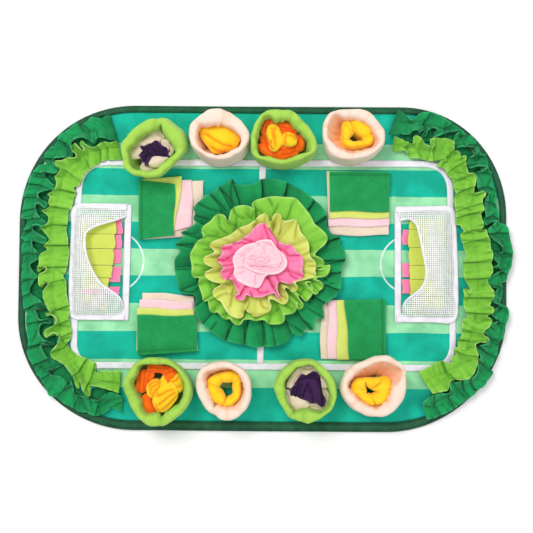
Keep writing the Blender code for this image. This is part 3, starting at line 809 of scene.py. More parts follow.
def add_flap(stack, layer):
    """One layer of a stack, counted from the top one, which also has a fold pressed in beside its seam."""
    colour = FLAP_LAYERS[layer]
    z = ON_MAT + FLEECE / 2 + (3 - layer) * LAYER_STEP
    corners = photo_points(FLAPS[stack][colour], z)
    u, v = unit_grid(30, 26)
    seam = corners[0] + (corners[1] - corners[0]) * u[..., None]
    free = corners[3] + (corners[2] - corners[3]) * u[..., None]
    place = seam + (free - seam) * v[..., None]
    seed = SEEDS["flap"] + 7 * layer + 31 * list(FLAPS).index(stack)
    place += unit(free - seam) * (0.0010 * np.sin(2.4 * pi * u + seed) * v)[..., None]
    folded = bell(v - 0.085, 0.030) * (layer == 0)
    height = z + 0.0011 * ease(v * 3) * (0.5 + 0.5 * soft_field(place, 0.06, seed)) - 0.0015 * folded
    height = height + 0.0010 * bell(v - 0.04, 0.04) * (layer == 0) + 0.0008 * v**4
    finish = {"green": "flap_green", "yellow": "yellow_green"}.get(colour, colour)
    # painted shade in the fold pressed beside the seam, and paler cut edges with painted highlight
    patch = (np.dstack([place, height]), {"edge": edge_values(*v.shape) * 0.5, "fold_shade": 0.45 * folded})
    piece = add_piece(f"flap_cloth_{stack}_{colour}", finish, [f"flap_{stack}_{colour}"], [patch], FLEECE)


def add_flaps():
    for stack in FLAPS:
        for layer in range(4):
            add_flap(stack, layer)


# ---------------------------------------------------------------- cups
# Each cup: cloth, centre of its foot, height, and its rim's outer and inner edge in photo pixels.
CUPS = {
    1: (
        "cup_lime", (-0.161, 0.183), 0.048,
        (
            (159.2, 117.5), (165.9, 119.3), (174.0, 125.1), (180.3, 129.9), (184.1, 135.6), (186.0, 143.3),
            (184.6, 150.9), (180.7, 156.7), (174.0, 163.8), (169.3, 168.6), (163.0, 173.9), (158.3, 177.2),
            (152.5, 178.2), (146.8, 178.7), (140.6, 176.7), (134.3, 175.3), (128.6, 172.0), (124.8, 167.7),
            (122.4, 159.0), (121.4, 150.4), (121.9, 142.8), (125.3, 137.0), (132.0, 130.8), (139.1, 124.6),
            (146.8, 120.3), (153.5, 118.2),
        ),
        (
            (161.6, 126.0), (162.6, 132.5), (165.9, 138.0), (170.7, 143.3), (175.0, 149.5), (176.2, 152.1),
            (172.6, 155.7), (167.8, 159.0), (163.0, 163.4), (158.3, 167.7), (151.1, 170.5), (144.9, 171.0),
            (134.3, 169.6), (130.0, 164.8), (129.1, 159.0), (128.1, 153.8), (127.7, 150.4), (130.0, 147.1),
            (134.3, 143.7), (140.6, 137.0), (149.7, 132.0), (157.0, 128.4),
        ),
    ),
    2: (
        "cream", (-0.065, 0.190), 0.046,
        (
            (213.7, 107.9), (220.9, 107.9), (230.5, 111.0), (237.6, 115.8), (241.5, 119.1), (244.8, 124.9),
            (248.6, 131.6), (249.6, 137.3), (248.2, 143.1), (243.9, 149.3), (239.1, 153.6), (231.9, 157.4),
            (225.7, 159.3), (218.5, 160.0), (211.8, 159.3), (205.6, 156.5), (199.8, 153.1), (195.5, 149.5),
            (191.2, 145.0), (189.1, 138.3), (189.1, 130.6), (190.3, 124.4), (194.6, 119.1), (201.3, 113.4),
            (208.9, 109.1),
        ),
        (
            (200.3, 125.2), (206.5, 125.4), (213.0, 125.2), (219.5, 124.9), (224.5, 126.0), (229.5, 127.6),
            (235.2, 130.6), (239.1, 134.4), (241.5, 138.3), (240.0, 145.5), (235.2, 149.3), (228.1, 152.6),
            (223.3, 154.5), (218.5, 155.0), (212.8, 153.6), (206.1, 151.7), (200.8, 148.8), (197.9, 143.1),
            (196.5, 137.3), (197.4, 130.6),
        ),
    ),
    3: (
        "cup_lime", (0.031, 0.188), 0.047,
        (
            (276.6, 108.7), (283.3, 109.2), (289.9, 110.2), (296.0, 113.8), (302.7, 119.9), (308.8, 127.0),
            (313.9, 134.7), (316.4, 141.8), (317.0, 148.0), (312.9, 152.6), (306.2, 157.1), (299.1, 160.5),
            (292.0, 163.0), (284.8, 164.3), (277.7, 164.3), (270.5, 162.8), (263.9, 160.7), (256.7, 157.8),
            (252.1, 152.6), (250.9, 145.9), (251.1, 137.8), (253.2, 130.1), (256.7, 121.9), (262.3, 114.8),
            (269.5, 110.2),
        ),
        (
            (263.9, 117.9), (270.5, 116.5), (275.6, 121.4), (280.0, 120.6), (285.8, 120.2), (290.9, 122.4),
            (294.0, 126.5), (296.5, 129.1), (299.1, 130.6), (303.7, 135.7), (308.3, 140.8), (309.3, 145.9),
            (309.3, 151.5), (306.2, 153.1), (301.1, 154.1), (296.0, 156.1), (290.9, 158.2), (283.3, 159.7),
            (275.6, 158.7), (269.5, 156.6), (264.4, 157.2), (260.3, 156.1), (258.3, 152.0), (256.7, 145.9),
            (256.2, 139.8), (256.7, 134.7), (258.8, 128.1), (261.3, 122.4),
        ),
    ),
    4: (
        "cream", (0.135, 0.194), 0.046,
        (
            (351.0, 109.1), (358.7, 108.9), (363.4, 109.6), (369.7, 112.4), (375.4, 117.2), (380.2, 123.0),
            (384.0, 128.7), (385.0, 133.5), (384.5, 142.1), (381.1, 146.9), (375.4, 152.1), (369.7, 155.5),
            (363.4, 158.4), (357.7, 159.8), (351.5, 160.5), (343.8, 159.8), (336.7, 157.9), (330.9, 155.0),
            (327.0, 151.0), (325.2, 145.9), (323.3, 138.3), (323.3, 130.6), (324.2, 123.9), (327.1, 116.3),
            (332.4, 112.0), (339.5, 109.8),
        ),
        (
            (333.0, 115.2), (338.6, 115.5), (344.8, 118.2), (353.9, 118.4), (361.0, 120.6), (366.8, 123.9),
            (372.1, 128.7), (376.4, 135.4), (378.9, 140.7), (376.4, 145.9), (373.0, 148.8), (365.8, 150.6),
            (360.1, 152.1), (353.4, 153.6), (346.7, 152.4), (343.8, 150.7), (339.5, 148.3), (333.8, 144.0),
            (328.6, 139.2), (327.6, 132.5), (329.4, 123.0),
        ),
    ),
    5: (
        "cup_lime", (-0.153, -0.188), 0.049,
        (
            (156.5, 357.6), (163.9, 358.2), (170.0, 360.2), (176.7, 364.4), (182.2, 369.9), (186.6, 376.4),
            (190.1, 382.8), (191.6, 390.3), (190.6, 398.0), (187.0, 405.0), (182.0, 412.5), (174.7, 419.1),
            (167.2, 424.6), (162.3, 426.8), (154.8, 426.8), (147.8, 425.8), (141.9, 422.1), (136.4, 415.6),
            (131.9, 408.7), (127.5, 399.7), (124.5, 391.8), (123.7, 384.8), (125.0, 377.9), (128.0, 370.9),
            (133.4, 364.4), (140.9, 360.0), (148.8, 357.9),
        ),
        (
            (139.4, 365.4), (147.9, 364.4), (154.8, 363.9), (163.8, 364.4), (169.7, 365.9), (174.7, 367.6),
            (178.7, 371.4), (181.7, 377.9), (183.7, 384.8), (183.7, 391.3), (182.7, 397.2), (180.2, 403.0),
            (175.0, 407.5), (169.7, 410.2), (164.8, 413.7), (160.8, 418.6), (157.8, 414.2), (152.3, 414.7),
            (144.9, 414.2), (140.9, 408.2), (138.9, 399.7), (134.9, 392.8), (131.4, 383.8), (133.4, 379.3),
            (136.4, 374.9),
        ),
    ),
    6: (
        "cream", (-0.056, -0.184), 0.047,
        (
            (225.4, 361.6), (232.1, 362.4), (238.8, 366.3), (244.0, 370.1), (248.4, 374.9), (250.7, 382.5),
            (251.5, 391.1), (251.2, 398.8), (248.4, 406.0), (244.0, 411.7), (237.8, 417.0), (232.1, 420.3),
            (227.3, 421.3), (220.6, 419.4), (213.0, 414.6), (206.3, 408.8), (201.5, 401.7), (197.7, 394.0),
            (195.7, 386.4), (196.2, 378.7), (199.1, 371.5), (204.3, 366.3), (211.0, 363.0), (218.2, 361.5),
        ),
        (
            (208.2, 371.0), (216.8, 369.1), (223.5, 367.9), (230.7, 368.7), (235.9, 371.0), (239.7, 375.8),
            (242.6, 381.1), (245.0, 387.8), (244.5, 394.5), (242.1, 400.2), (239.7, 405.0), (235.9, 408.4),
            (230.7, 408.8), (223.5, 408.4), (219.7, 406.9), (216.8, 406.4), (213.9, 407.4), (211.5, 402.1),
            (208.2, 393.0), (205.8, 385.9), (203.4, 378.7), (204.3, 374.4),
        ),
    ),
    7: (
        "cup_lime", (0.065, -0.185), 0.048,
        (
            (306.4, 359.8), (313.1, 360.5), (318.8, 363.4), (325.0, 368.7), (330.8, 374.9), (334.6, 381.6),
            (336.3, 388.3), (336.5, 395.5), (334.1, 403.6), (330.3, 410.3), (325.0, 415.1), (317.8, 420.8),
            (310.7, 424.2), (308.3, 425.0), (305.9, 424.6), (298.7, 421.8), (291.5, 418.4), (286.7, 413.6),
            (282.4, 407.9), (278.6, 400.7), (275.3, 394.0), (274.1, 388.3), (275.3, 381.6), (278.1, 375.8),
            (282.9, 369.1), (289.1, 364.8), (296.8, 361.0),
        ),
        (
            (298.7, 367.2), (305.9, 364.8), (312.1, 365.8), (316.9, 370.6), (321.7, 375.4), (326.5, 382.5),
            (328.9, 388.3), (330.8, 395.0), (330.8, 397.8), (329.3, 405.0), (326.5, 409.8), (319.8, 412.7),
            (313.1, 411.2), (307.8, 409.3), (305.4, 409.3), (301.1, 410.3), (296.8, 411.7), (294.9, 413.6),
            (292.0, 410.3), (288.7, 405.0), (286.3, 397.8), (284.8, 390.7), (284.8, 382.5), (287.7, 378.2),
            (291.5, 373.0), (295.8, 368.2),
        ),
    ),
    8: (
        "cream", (0.168, -0.180), 0.046,
        (
            (382.8, 355.3), (389.0, 356.2), (396.2, 360.0), (402.0, 364.3), (405.3, 369.1), (406.7, 374.9),
            (406.7, 384.4), (406.3, 392.1), (403.4, 400.2), (398.6, 406.4), (391.4, 412.7), (384.3, 416.5),
            (375.7, 417.0), (368.5, 416.0), (361.8, 412.7), (355.1, 409.8), (349.3, 404.5), (344.6, 398.3),
            (341.7, 391.6), (341.2, 385.4), (342.7, 378.7), (345.9, 371.6), (351.6, 365.8), (359.2, 362.3),
            (367.5, 359.0), (375.7, 356.2),
        ),
        (
            (358.0, 372.0), (365.6, 367.2), (375.7, 362.9), (382.8, 361.5), (392.4, 364.3), (398.6, 367.2),
            (401.5, 372.0), (401.0, 377.7), (398.6, 381.6), (395.3, 384.9), (392.4, 387.8), (390.0, 395.4),
            (386.7, 402.6), (382.8, 406.0), (378.0, 408.2), (375.7, 408.8), (368.5, 406.9), (361.8, 403.1),
            (355.6, 397.4), (350.8, 392.6), (347.4, 388.3), (347.4, 383.5), (350.8, 378.7), (354.1, 374.9),
        ),
    ),
}
# Creases pressed into each cup's rim: angle in degrees, depth, and width in degrees.
CUP_CREASES = {
    1: ((83, 0.006, 7), (4, 0.003, 8), (200, 0.002, 10)),
    2: ((62, 0.004, 9), (150, 0.003, 8)),
    3: ((130, 0.004, 10), (40, 0.003, 10)),
    4: ((128, 0.005, 8), (15, 0.002, 12)),
    5: ((278, 0.006, 7), (190, 0.003, 12), (130, 0.003, 8)),
    6: ((250, 0.005, 8), (305, 0.003, 8)),
    7: ((268, 0.005, 6), (240, 0.004, 6)),
    8: ((20, 0.004, 9), (145, 0.002, 10)),
}
# Middle of what each cup holds, in photo pixels: its inner wall slopes down towards this.
CUP_WELLS = {
    1: (151, 153),
    2: (219, 140),
    3: (282, 141),
    4: (357, 133),
    5: (158, 391),
    6: (226, 391),
    7: (308, 388),
    8: (372, 390),
}
# Section of a rolled wall: share from the outer to the inner edge, of the height, of the foot, and of the way
# in to the well.
CUP_SECTION = (
    (0.14, 0.0, 1.0, 0.0),
    (0.10, 0.16, 0.86, 0.0),
    (0.08, 0.34, 0.62, 0.0),
    (0.07, 0.52, 0.36, 0.0),
    (0.07, 0.70, 0.14, 0.0),
    (0.08, 0.84, 0.04, 0.0),
    (0.12, 0.93, 0.0, 0.0),
    (0.20, 0.98, 0.0, 0.0),
    (0.32, 1.0, 0.0, 0.0),
    (0.50, 1.0, 0.0, 0.0),
    (0.68, 0.99, 0.0, 0.0),
    (0.81, 0.96, 0.0, 0.0),
    (0.90, 0.90, 0.0, 0.0),
    (0.94, 0.80, 0.0, 0.01),
    (0.95, 0.68, 0.0, 0.04),
    (0.95, 0.54, 0.0, 0.10),
    (0.95, 0.40, 0.0, 0.18),
    (0.95, 0.26, 0.0, 0.29),
    (0.95, 0.14, 0.0, 0.42),
    (0.95, 0.05, 0.0, 0.56),
)
INSIDE_FROM = 13
CUP_COLUMNS = 160
ROLL_COLUMNS = 128
# A full cup's inner wall keeps steep down to what it holds.
STEEP_WELL = 1.9
# How much painted reflection of the yellow filling, in the fold colour, the inner wall round it takes.
WELL_PAINTED_BOUNCE = {"cream": 0.45, "cup_lime": 0.0}
# How far below the top of a wall its rim's outer and inner edge were read, as shares of its height.
OUTER_READ = 0.12
INNER_READ = 0.15
# How much smaller a wall's foot is than its rim.
FOOT_SHARE = 0.97


def rolled_wall(
    outer_px, inner_px, base, height, section, creases, foot, columns, seed, well=None, steep=1, painted_bounce=0.0
):
    """Points of a rolled cloth wall whose rim is read off the photograph and whose foot stands on the mat.

    It also gives painted shade in its creases, pleats and inner wall, and the last argument is how much of the
    fold colour the inner wall takes as painted reflection of the filling.
    """
    rim_z = foot + height
    outer = Outline(photo_points(outer_px, rim_z - OUTER_READ * height))
    holes = photo_points(inner_px, rim_z - INNER_READ * height)
    inner = Outline(holes, holes.mean(axis=0) if well is None else outer.centre)
    angle = np.arange(columns) / columns * 2 * pi
    rim_out, rim_in = outer.at(angle), inner.at(angle)
    shift = np.array(base) - outer.centre
    rows = []
    for inward, up, foot_share, well_share in section:
        place = rim_out + (rim_in - rim_out) * inward
        if well is not None:
            place = place + (well - place) * well_share**steep
        settled = outer.centre + (place - outer.centre) * FOOT_SHARE + shift
        place = place + (settled - place) * foot_share
        z = foot + height * up
        rows.append(np.column_stack([place, np.full(columns, z)]))
    wall = np.stack(rows, 1)
    tall = np.array([row[1] for row in section])
    fold_shade = np.zeros(wall.shape[:2])
    for degrees, depth, spread in creases:
        off = (np.degrees(angle) - degrees + 180) % 360 - 180
        wall[..., 2] -= depth * (bell(off, spread)[:, None] * (tall > 0.8))
        line = bell(off, 0.35 * spread)[:, None] * (tall > 0.55)
        # painted shade along each crease
        fold_shade = np.maximum(fold_shade, 0.25 * line)
    wall[..., 2] += 0.0014 * soft_field(wall, 0.05, seed) * ease(tall)[None]
    wall[..., 2] += 0.0007 * soft_field(wall, 0.011, seed + 2) * ease(tall)[None]
    inside = (np.arange(len(section)) >= INSIDE_FROM) & (well is not None)
    around = np.stack([np.cos(angle), np.sin(angle)], -1)[:, None] * 0.030
    around = np.broadcast_to(around, (columns, len(section), 2))
    lean = np.broadcast_to(tall[None, :, None] * 0.012, (columns, len(section), 1))
    pleats = soft_field(np.concatenate([around, lean], -1), 0.0085, seed + 3)
    swell = 0.0010 * soft_field(wall, 0.022, seed + 1) * ease(tall * 2)[None] + 0.0012 * pleats * inside
    wall[..., :2] += unit(wall[..., :2] - outer.centre) * swell[..., None]
    # painted shade on the inner wall and in pleats on the rim, with painted reflection of the filling low on
    # the inner wall
    fold_shade = np.maximum(fold_shade, inside * (painted_bounce * (1 - tall) + 0.10 + 0.30 * np.clip(pleats, 0, 1)))
    fold_shade = np.maximum(fold_shade, 0.35 * np.clip(pleats - 0.35, 0, 1) * (tall > 0.5))
    return wall, {"fold_shade": fold_shade}


def add_cups():
    for number, (cloth, base, height, outer_px, inner_px) in CUPS.items():
        well = photo_point(*CUP_WELLS[number], ON_TAPE + 0.5 * height)
        creases, seed = CUP_CREASES[number], SEEDS["cup"] + number
        shape = (base, height, CUP_SECTION, creases, ON_TAPE, CUP_COLUMNS, seed)
        steep = 1 if number in ROLLS else STEEP_WELL
        wall = rolled_wall(outer_px, inner_px, *shape, well, steep, WELL_PAINTED_BOUNCE[cloth])
        piece = add_piece(f"cup_wall_{number}", cloth, [f"cup_{number}"], [wall], FLEECE, closed_u=True)


# Rolls in cups 4, 6 and 8: base, height, outer edge and hole in photo pixels.
ROLLS = {
    4: (
        (0.1365, 0.199), 0.036,
        (
            (351.0, 119.6), (356.3, 119.9), (361.1, 121.1), (365.8, 123.4), (369.7, 128.2), (372.5, 133.0),
            (374.0, 138.3), (372.8, 142.5), (368.2, 145.2), (361.0, 146.6), (353.4, 146.9), (346.7, 145.6),
            (343.6, 141.6), (342.6, 137.3), (343.4, 128.7), (344.3, 123.0), (346.7, 120.6),
        ),
        (
            (355.3, 132.0), (359.1, 134.9), (363.0, 137.3), (363.0, 140.7), (359.1, 141.1), (355.3, 141.4),
            (352.4, 140.7), (350.0, 138.3), (350.5, 136.8), (353.4, 134.0),
        ),
    ),
    6: (
        (-0.055, -0.184), 0.036,
        (
            (223.5, 372.0), (228.3, 371.8), (233.0, 372.0), (236.9, 373.9), (239.7, 377.7), (240.7, 383.5),
            (240.7, 390.7), (239.3, 397.8), (235.4, 402.6), (230.7, 406.0), (225.4, 407.2), (220.6, 406.0),
            (216.8, 403.1), (213.0, 400.7), (210.6, 396.4), (208.7, 391.6), (207.2, 385.4), (207.7, 380.6),
            (210.6, 377.3), (216.8, 373.9),
        ),
        (
            (223.0, 382.0), (227.3, 383.0), (232.6, 383.0), (232.8, 387.3), (233.5, 392.1), (232.1, 395.0),
            (228.3, 396.9), (225.9, 399.3), (224.4, 395.9), (221.6, 391.1), (218.7, 387.8), (220.1, 384.9),
        ),
    ),
    8: (
        (0.1665, -0.183), 0.037,
        (
            (364.7, 378.7), (373.3, 378.7), (378.0, 377.7), (385.2, 377.5), (389.0, 380.6), (391.0, 384.9),
            (390.5, 390.7), (388.6, 396.9), (385.7, 401.7), (381.9, 404.0), (375.7, 406.0), (369.4, 404.5),
            (363.7, 401.2), (358.0, 396.4), (353.7, 392.1), (351.7, 387.3), (352.7, 383.5), (355.6, 380.1),
            (358.9, 378.7),
        ),
        (
            (365.1, 384.0), (367.5, 386.4), (371.4, 389.7), (377.1, 392.1), (373.3, 394.0), (372.3, 395.9),
            (370.4, 394.5), (366.1, 394.5), (366.1, 390.7), (365.6, 387.3),
        ),
    ),
}
ROLL_CREASES = {
    4: ((120, 0.005, 6), (0, 0.004, 10), (205, 0.003, 8)),
    6: ((265, 0.005, 6), (165, 0.004, 8), (60, 0.003, 9)),
    8: ((38, 0.006, 9), (285, 0.004, 5), (175, 0.003, 10), (120, 0.003, 6)),
}
ROLL_SECTION = (
    (0.10, 0.0, 1.0, 0.0),
    (0.0, 0.35, 0.6, 0.0),
    (-0.02, 0.68, 0.2, 0.0),
    (0.05, 0.86, 0.05, 0.0),
    (0.20, 0.96, 0.0, 0.0),
    (0.40, 1.0, 0.0, 0.0),
    (0.60, 0.98, 0.0, 0.0),
    (0.78, 0.92, 0.0, 0.0),
    (0.93, 0.80, 0.0, 0.0),
    (1.0, 0.62, 0.0, 0.0),
    (0.95, 0.35, 0.3, 0.0),
    (0.90, 0.0, 0.8, 0.0),
)


def add_rolls():
    section = smooth_rows(ROLL_SECTION, between=2)
    for number, (base, height, outer_px, hole_px) in ROLLS.items():
        creases, seed = ROLL_CREASES[number], SEEDS["roll"] + number
        wall = rolled_wall(outer_px, hole_px, base, height, section, creases, ON_MAT, ROLL_COLUMNS, seed)
        piece = add_piece(f"roll_cloth_{number}", "yellow", [f"roll_{number}"], [wall], FLEECE, closed_u=True)


# ---------------------------------------------------------------- gathered cloth
# Enlarged parts of the photograph that lines were read in: the pixel of the corner, and the enlargement.
WINDOWS = {
    "far_left": (0, 90, 8.711),
    "near_left": (0, 260, 8.711),
    "far_right": (350, 90, 8.568),
    "near_right": (350, 260, 8.568),
    "flower": (170, 165, 8.711),
    "rose": (200, 195, 12.544),
    "cup_1": (120, 105, 20.907),
    "cup_2": (185, 100, 20.900),
    "cup_3": (245, 100, 19.600),
    "cup_5": (120, 350, 20.107),
    "cup_7": (270, 350, 20.900),
}


def read_at(window, spots, z):
    """Points at height z from spots read in one enlarged part of the photograph."""
    u, v, times = WINDOWS[window]
    return np.array([photo_point(u + a / times, v + b / times, z) for a, b in spots])


def soften(rows, reach, closed=False):
    """The rows smoothed over so many neighbours on each side."""
    kernel = np.hanning(2 * reach + 3)[1:-1]
    kernel /= kernel.sum()
    padded = np.pad(rows, [(reach, reach)] + [(0, 0)] * (rows.ndim - 1), mode="wrap" if closed else "edge")
    if rows.ndim == 1:
        return np.convolve(padded, kernel, mode="valid")
    return np.stack([np.convolve(column, kernel, mode="valid") for column in padded.T], -1)


def even_steps(rows, step, closed=False):
    """Points every so far along a smooth line through the rows."""
    dense = smooth_rows(rows, between=6, closed=closed)
    if closed:
        dense = np.vstack([dense, dense[:1]])
    lengths = running(np.linalg.norm(np.diff(dense, axis=0), axis=1))
    places = np.linspace(0, lengths[-1], int(lengths[-1] / step) + 1)
    if closed:
        places = places[:-1]
    return rows_at(places, lengths, dense)


FOLD_STEP = 0.0015
EDGE_READ_HEIGHT = 0.012
HOLLOW_REACH = 6
HOLLOW_DEPTH = 0.0016
PLEAT_BACK = 3
CREASE_DEPTH = 0.0027
CREASE_WIDTH = 0.0019
TUCK_SHADE = 0.56
CREASE_READ_HEIGHT = 0.014
# Over how many points on each side an edge is smoothed to tell its loops from its course.
LOOP_REACH = 16
FLOWER_LOOP_REACH = 22
# How far a loop of an edge is pulled down where it runs out and up where it runs in, at most.
STRIP_LOOP_LIFT = 0.0055
FLOWER_LOOP_LIFT = 0.006


def hollows(grid, closed=False):
    """How deep each point of a sheet lies between its neighbours along u, from 0 to 1, for painted shade in its
    hollows.
    """
    height = grid[..., 2]
    around = np.stack([soften(column, HOLLOW_REACH, closed) for column in height.T], -1)
    return np.clip((around - height) / HOLLOW_DEPTH, 0, 1) ** 0.8


def share_along(edge, line):
    """How far along the line each point of a looping edge belongs, always rising from 0 to 1."""
    share = np.linspace(0, 1, 400)
    away = np.linalg.norm(edge[:, None, :2] - line.at(share)[None, :, :2], axis=-1)
    raw = share[np.argmin(away, axis=1)]
    smooth = soften(raw, 14)
    smooth = np.maximum.accumulate(smooth) + np.linspace(0, 1e-3, len(smooth))
    return (smooth - smooth[0]) / (smooth[-1] - smooth[0])


def pleat_columns(count, cuts, closed=False):
    """The columns of a pleated sheet, and how far each has risen along its own pleat, from 0 to 1.

    Each pleat runs on over the next one, which starts PLEAT_BACK columns further back, below it.
    """
    starts, ends = ([*cuts], [*cuts[1:], cuts[0] + count]) if closed else ([0, *cuts], [*cuts, count])
    numbers, rises, parts = [], [], []
    for part, (start, end) in enumerate(zip(starts, ends)):
        first = start - PLEAT_BACK if closed or start > PLEAT_BACK else start
        numbers.append(np.arange(first, end) % count)
        rises.append(np.linspace(0, 1, end - first))
        parts.append(np.full(end - first, part))
    return np.concatenate(numbers), np.concatenate(rises), np.concatenate(parts)


def pleat_draw(seed, low, high, parts):
    """A random number for each pleat, given to all of its columns."""
    return np.random.default_rng(seed).uniform(low, high, parts.max() + 1)[parts]


def tuck_shade(rises):
    """How much painted shade lies where a pleat comes out from under its neighbour."""
    return TUCK_SHADE * (1 - rises) ** 1.9


def crease(grid, windows, depth, width, z=CREASE_READ_HEIGHT, step=0.0008, sharp=0.5, top=1):
    """Presses creases, read window by window, into a sheet.

    It gives how deep each point lies in one, from 0 to 1. sharp is the share of the narrow groove in a crease,
    and top says how far each row takes part.
    """
    pressed = np.zeros(grid.shape[:2])
    for window, lines in windows.items():
        for spots in lines:
            path = even_steps(read_at(window, spots, z), step)
            away = np.linalg.norm(grid[..., None, :2] - path, axis=-1).min(axis=-1)
            groove = sharp * bell(away, 0.5 * width) + (1 - sharp) * bell(away, 1.3 * width)
            pressed = np.maximum(pressed, groove)
    pressed = pressed * top
    grid[..., 2] -= depth * pressed
    return pressed


STRIP_ROWS = (
    -1, -0.965, -0.91, -0.82, -0.71, -0.59, -0.46, -0.33, -0.20, -0.08, 0,
    0.08, 0.20, 0.33, 0.46, 0.59, 0.71, 0.82, 0.91, 0.965, 1,
)


def strip_grid(outer, inner, line, tiles, heights, seam_shade, creases, seed):
    """Points of a gathered strip between two read edges, sewn down along the line between them.

    tiles are the places along the line where one pleat ends and the next begins. heights are those of the outer
    edge, the seam and the inner edge, and the height of a pleat.
    """
    shares = [share_along(edge, line) for edge in (outer, inner)]
    base = np.linspace(0, 1, 1200)
    travel = [np.interp(base, share, np.arange(len(share))) for share in shares]
    pace = np.maximum(np.gradient(travel[0]), np.gradient(travel[1])) + 0.12
    total = running((pace[1:] + pace[:-1]) / 2)
    along = np.interp(np.linspace(0, total[-1], int(total[-1])), total, base)
    seam = line.at(along)[:, :2]
    outer_z, seam_z, inner_z, tile_height = heights
    cuts = [cut for cut in np.searchsorted(along, tiles) if PLEAT_BACK < cut < len(along) - PLEAT_BACK]
    numbers, rises, parts = pleat_columns(len(along), cuts)
    step = rises * pleat_draw(seed, 0.6, 1.25, parts)
    sides = []
    for edge, share, edge_z in ((outer, shares[0], outer_z), (inner, shares[1], inner_z)):
        place = rows_at(along, share, edge)
        middle = soften(place, LOOP_REACH)
        bulge = ((place - middle) * unit(middle - seam)).sum(axis=1)
        top = edge_z if np.ndim(edge_z) == 0 else np.interp(along, np.linspace(0, 1, len(edge_z)), edge_z)
        lift = np.clip(-bulge * 1.1, -STRIP_LOOP_LIFT, STRIP_LOOP_LIFT) * np.clip((top - seam_z) / 0.008, 0, 1)
        sides.append((place, middle, top + lift))
    grid, values = [], []
    for row in STRIP_ROWS:
        place, middle, top = sides[0] if row > 0 else sides[1]
        reach = abs(row)
        spot = seam + (middle - seam) * reach + (place - middle) * reach**1.5
        cloth = np.column_stack([along * line.length, np.full(len(along), row * 0.012)])
        crossing = soft_field(cloth, 0.010, seed + 50)
        z = seam_z + (top - seam_z) * reach**0.85 + 0.0010 * crossing * (0.4 + 0.6 * reach)
        spot, z = spot[numbers], np.broadcast_to(z, along.shape)[numbers]
        z = z + tile_height * step * (0.55 + 0.45 * reach) * (1 - 0.35 * reach**3)
        grid.append(np.column_stack([spot, z]))
        # paler rim near each free edge, partly painted highlight
        values.append(np.full(len(numbers), float(np.interp(reach, (0.90, 0.97), (0, 1)))))
    grid, values = np.stack(grid, 1), np.stack(values, 1)
    grid[..., 2] += 0.0005 * soft_field(grid, 0.015, seed)
    values[0] = values[-1] = 0.7
    sewn = bell(np.array(STRIP_ROWS), 0.07)
    grid[..., 2] -= 0.0016 * seam_shade * sewn
    pressed = crease(grid, creases, CREASE_DEPTH, CREASE_WIDTH)
    # painted shade: where each pleat comes out from under its neighbour and at its far end, random from pleat
    # to pleat, in hollows and creases, and along the seam
    tucked = tuck_shade(rises) + 0.18 * rises**8
    tone = pleat_draw(seed + 9, 0, 0.08, parts)
    fold_shade = np.maximum(hollows(grid) * 0.85, np.maximum(pressed * 0.42, seam_shade * sewn))
    fold_shade = 1 - (1 - fold_shade) * (1 - tucked)[:, None] * (1 - tone)[:, None]
    return grid, {"edge": values * (1 - fold_shade), "fold_shade": fold_shade}


UNDER_LAYER_REACH = 0.014


def under_layer(line, inner, seed):
    """Points of the strip's lower layer, from near its seam to a little beyond the inner edge."""
    along = np.linspace(0.015, 0.985, 260)
    seam = line.at(along)[:, :2]
    reach = (UNDER_LAYER_REACH * np.clip(np.minimum(along, 1 - along) / 0.05, 0, 1))[:, None]
    edge = soften(rows_at(along, share_along(inner, line), inner), 12)
    edge = edge + unit(edge - seam) * reach
    rows = []
    for row in np.linspace(0.10, 1, 8):
        spot = seam + (edge - seam) * row
        rows.append(np.column_stack([spot, np.full(len(along), ON_MAT + 0.0008 + 0.0008 * row)]))
    grid = np.stack(rows, 1)
    folds = soft_field(np.column_stack([along * line.length, along * 0]), 0.007, seed)
    grid[..., 2] += 0.0006 * (1 + folds)[:, None] + 0.0003 * soft_field(grid, 0.012, seed)
    # painted shade over the whole lower layer, deeper in its folds
    return grid, {"fold_shade": 0.45 + 0.3 * np.clip(-folds, 0, 1)[:, None]}


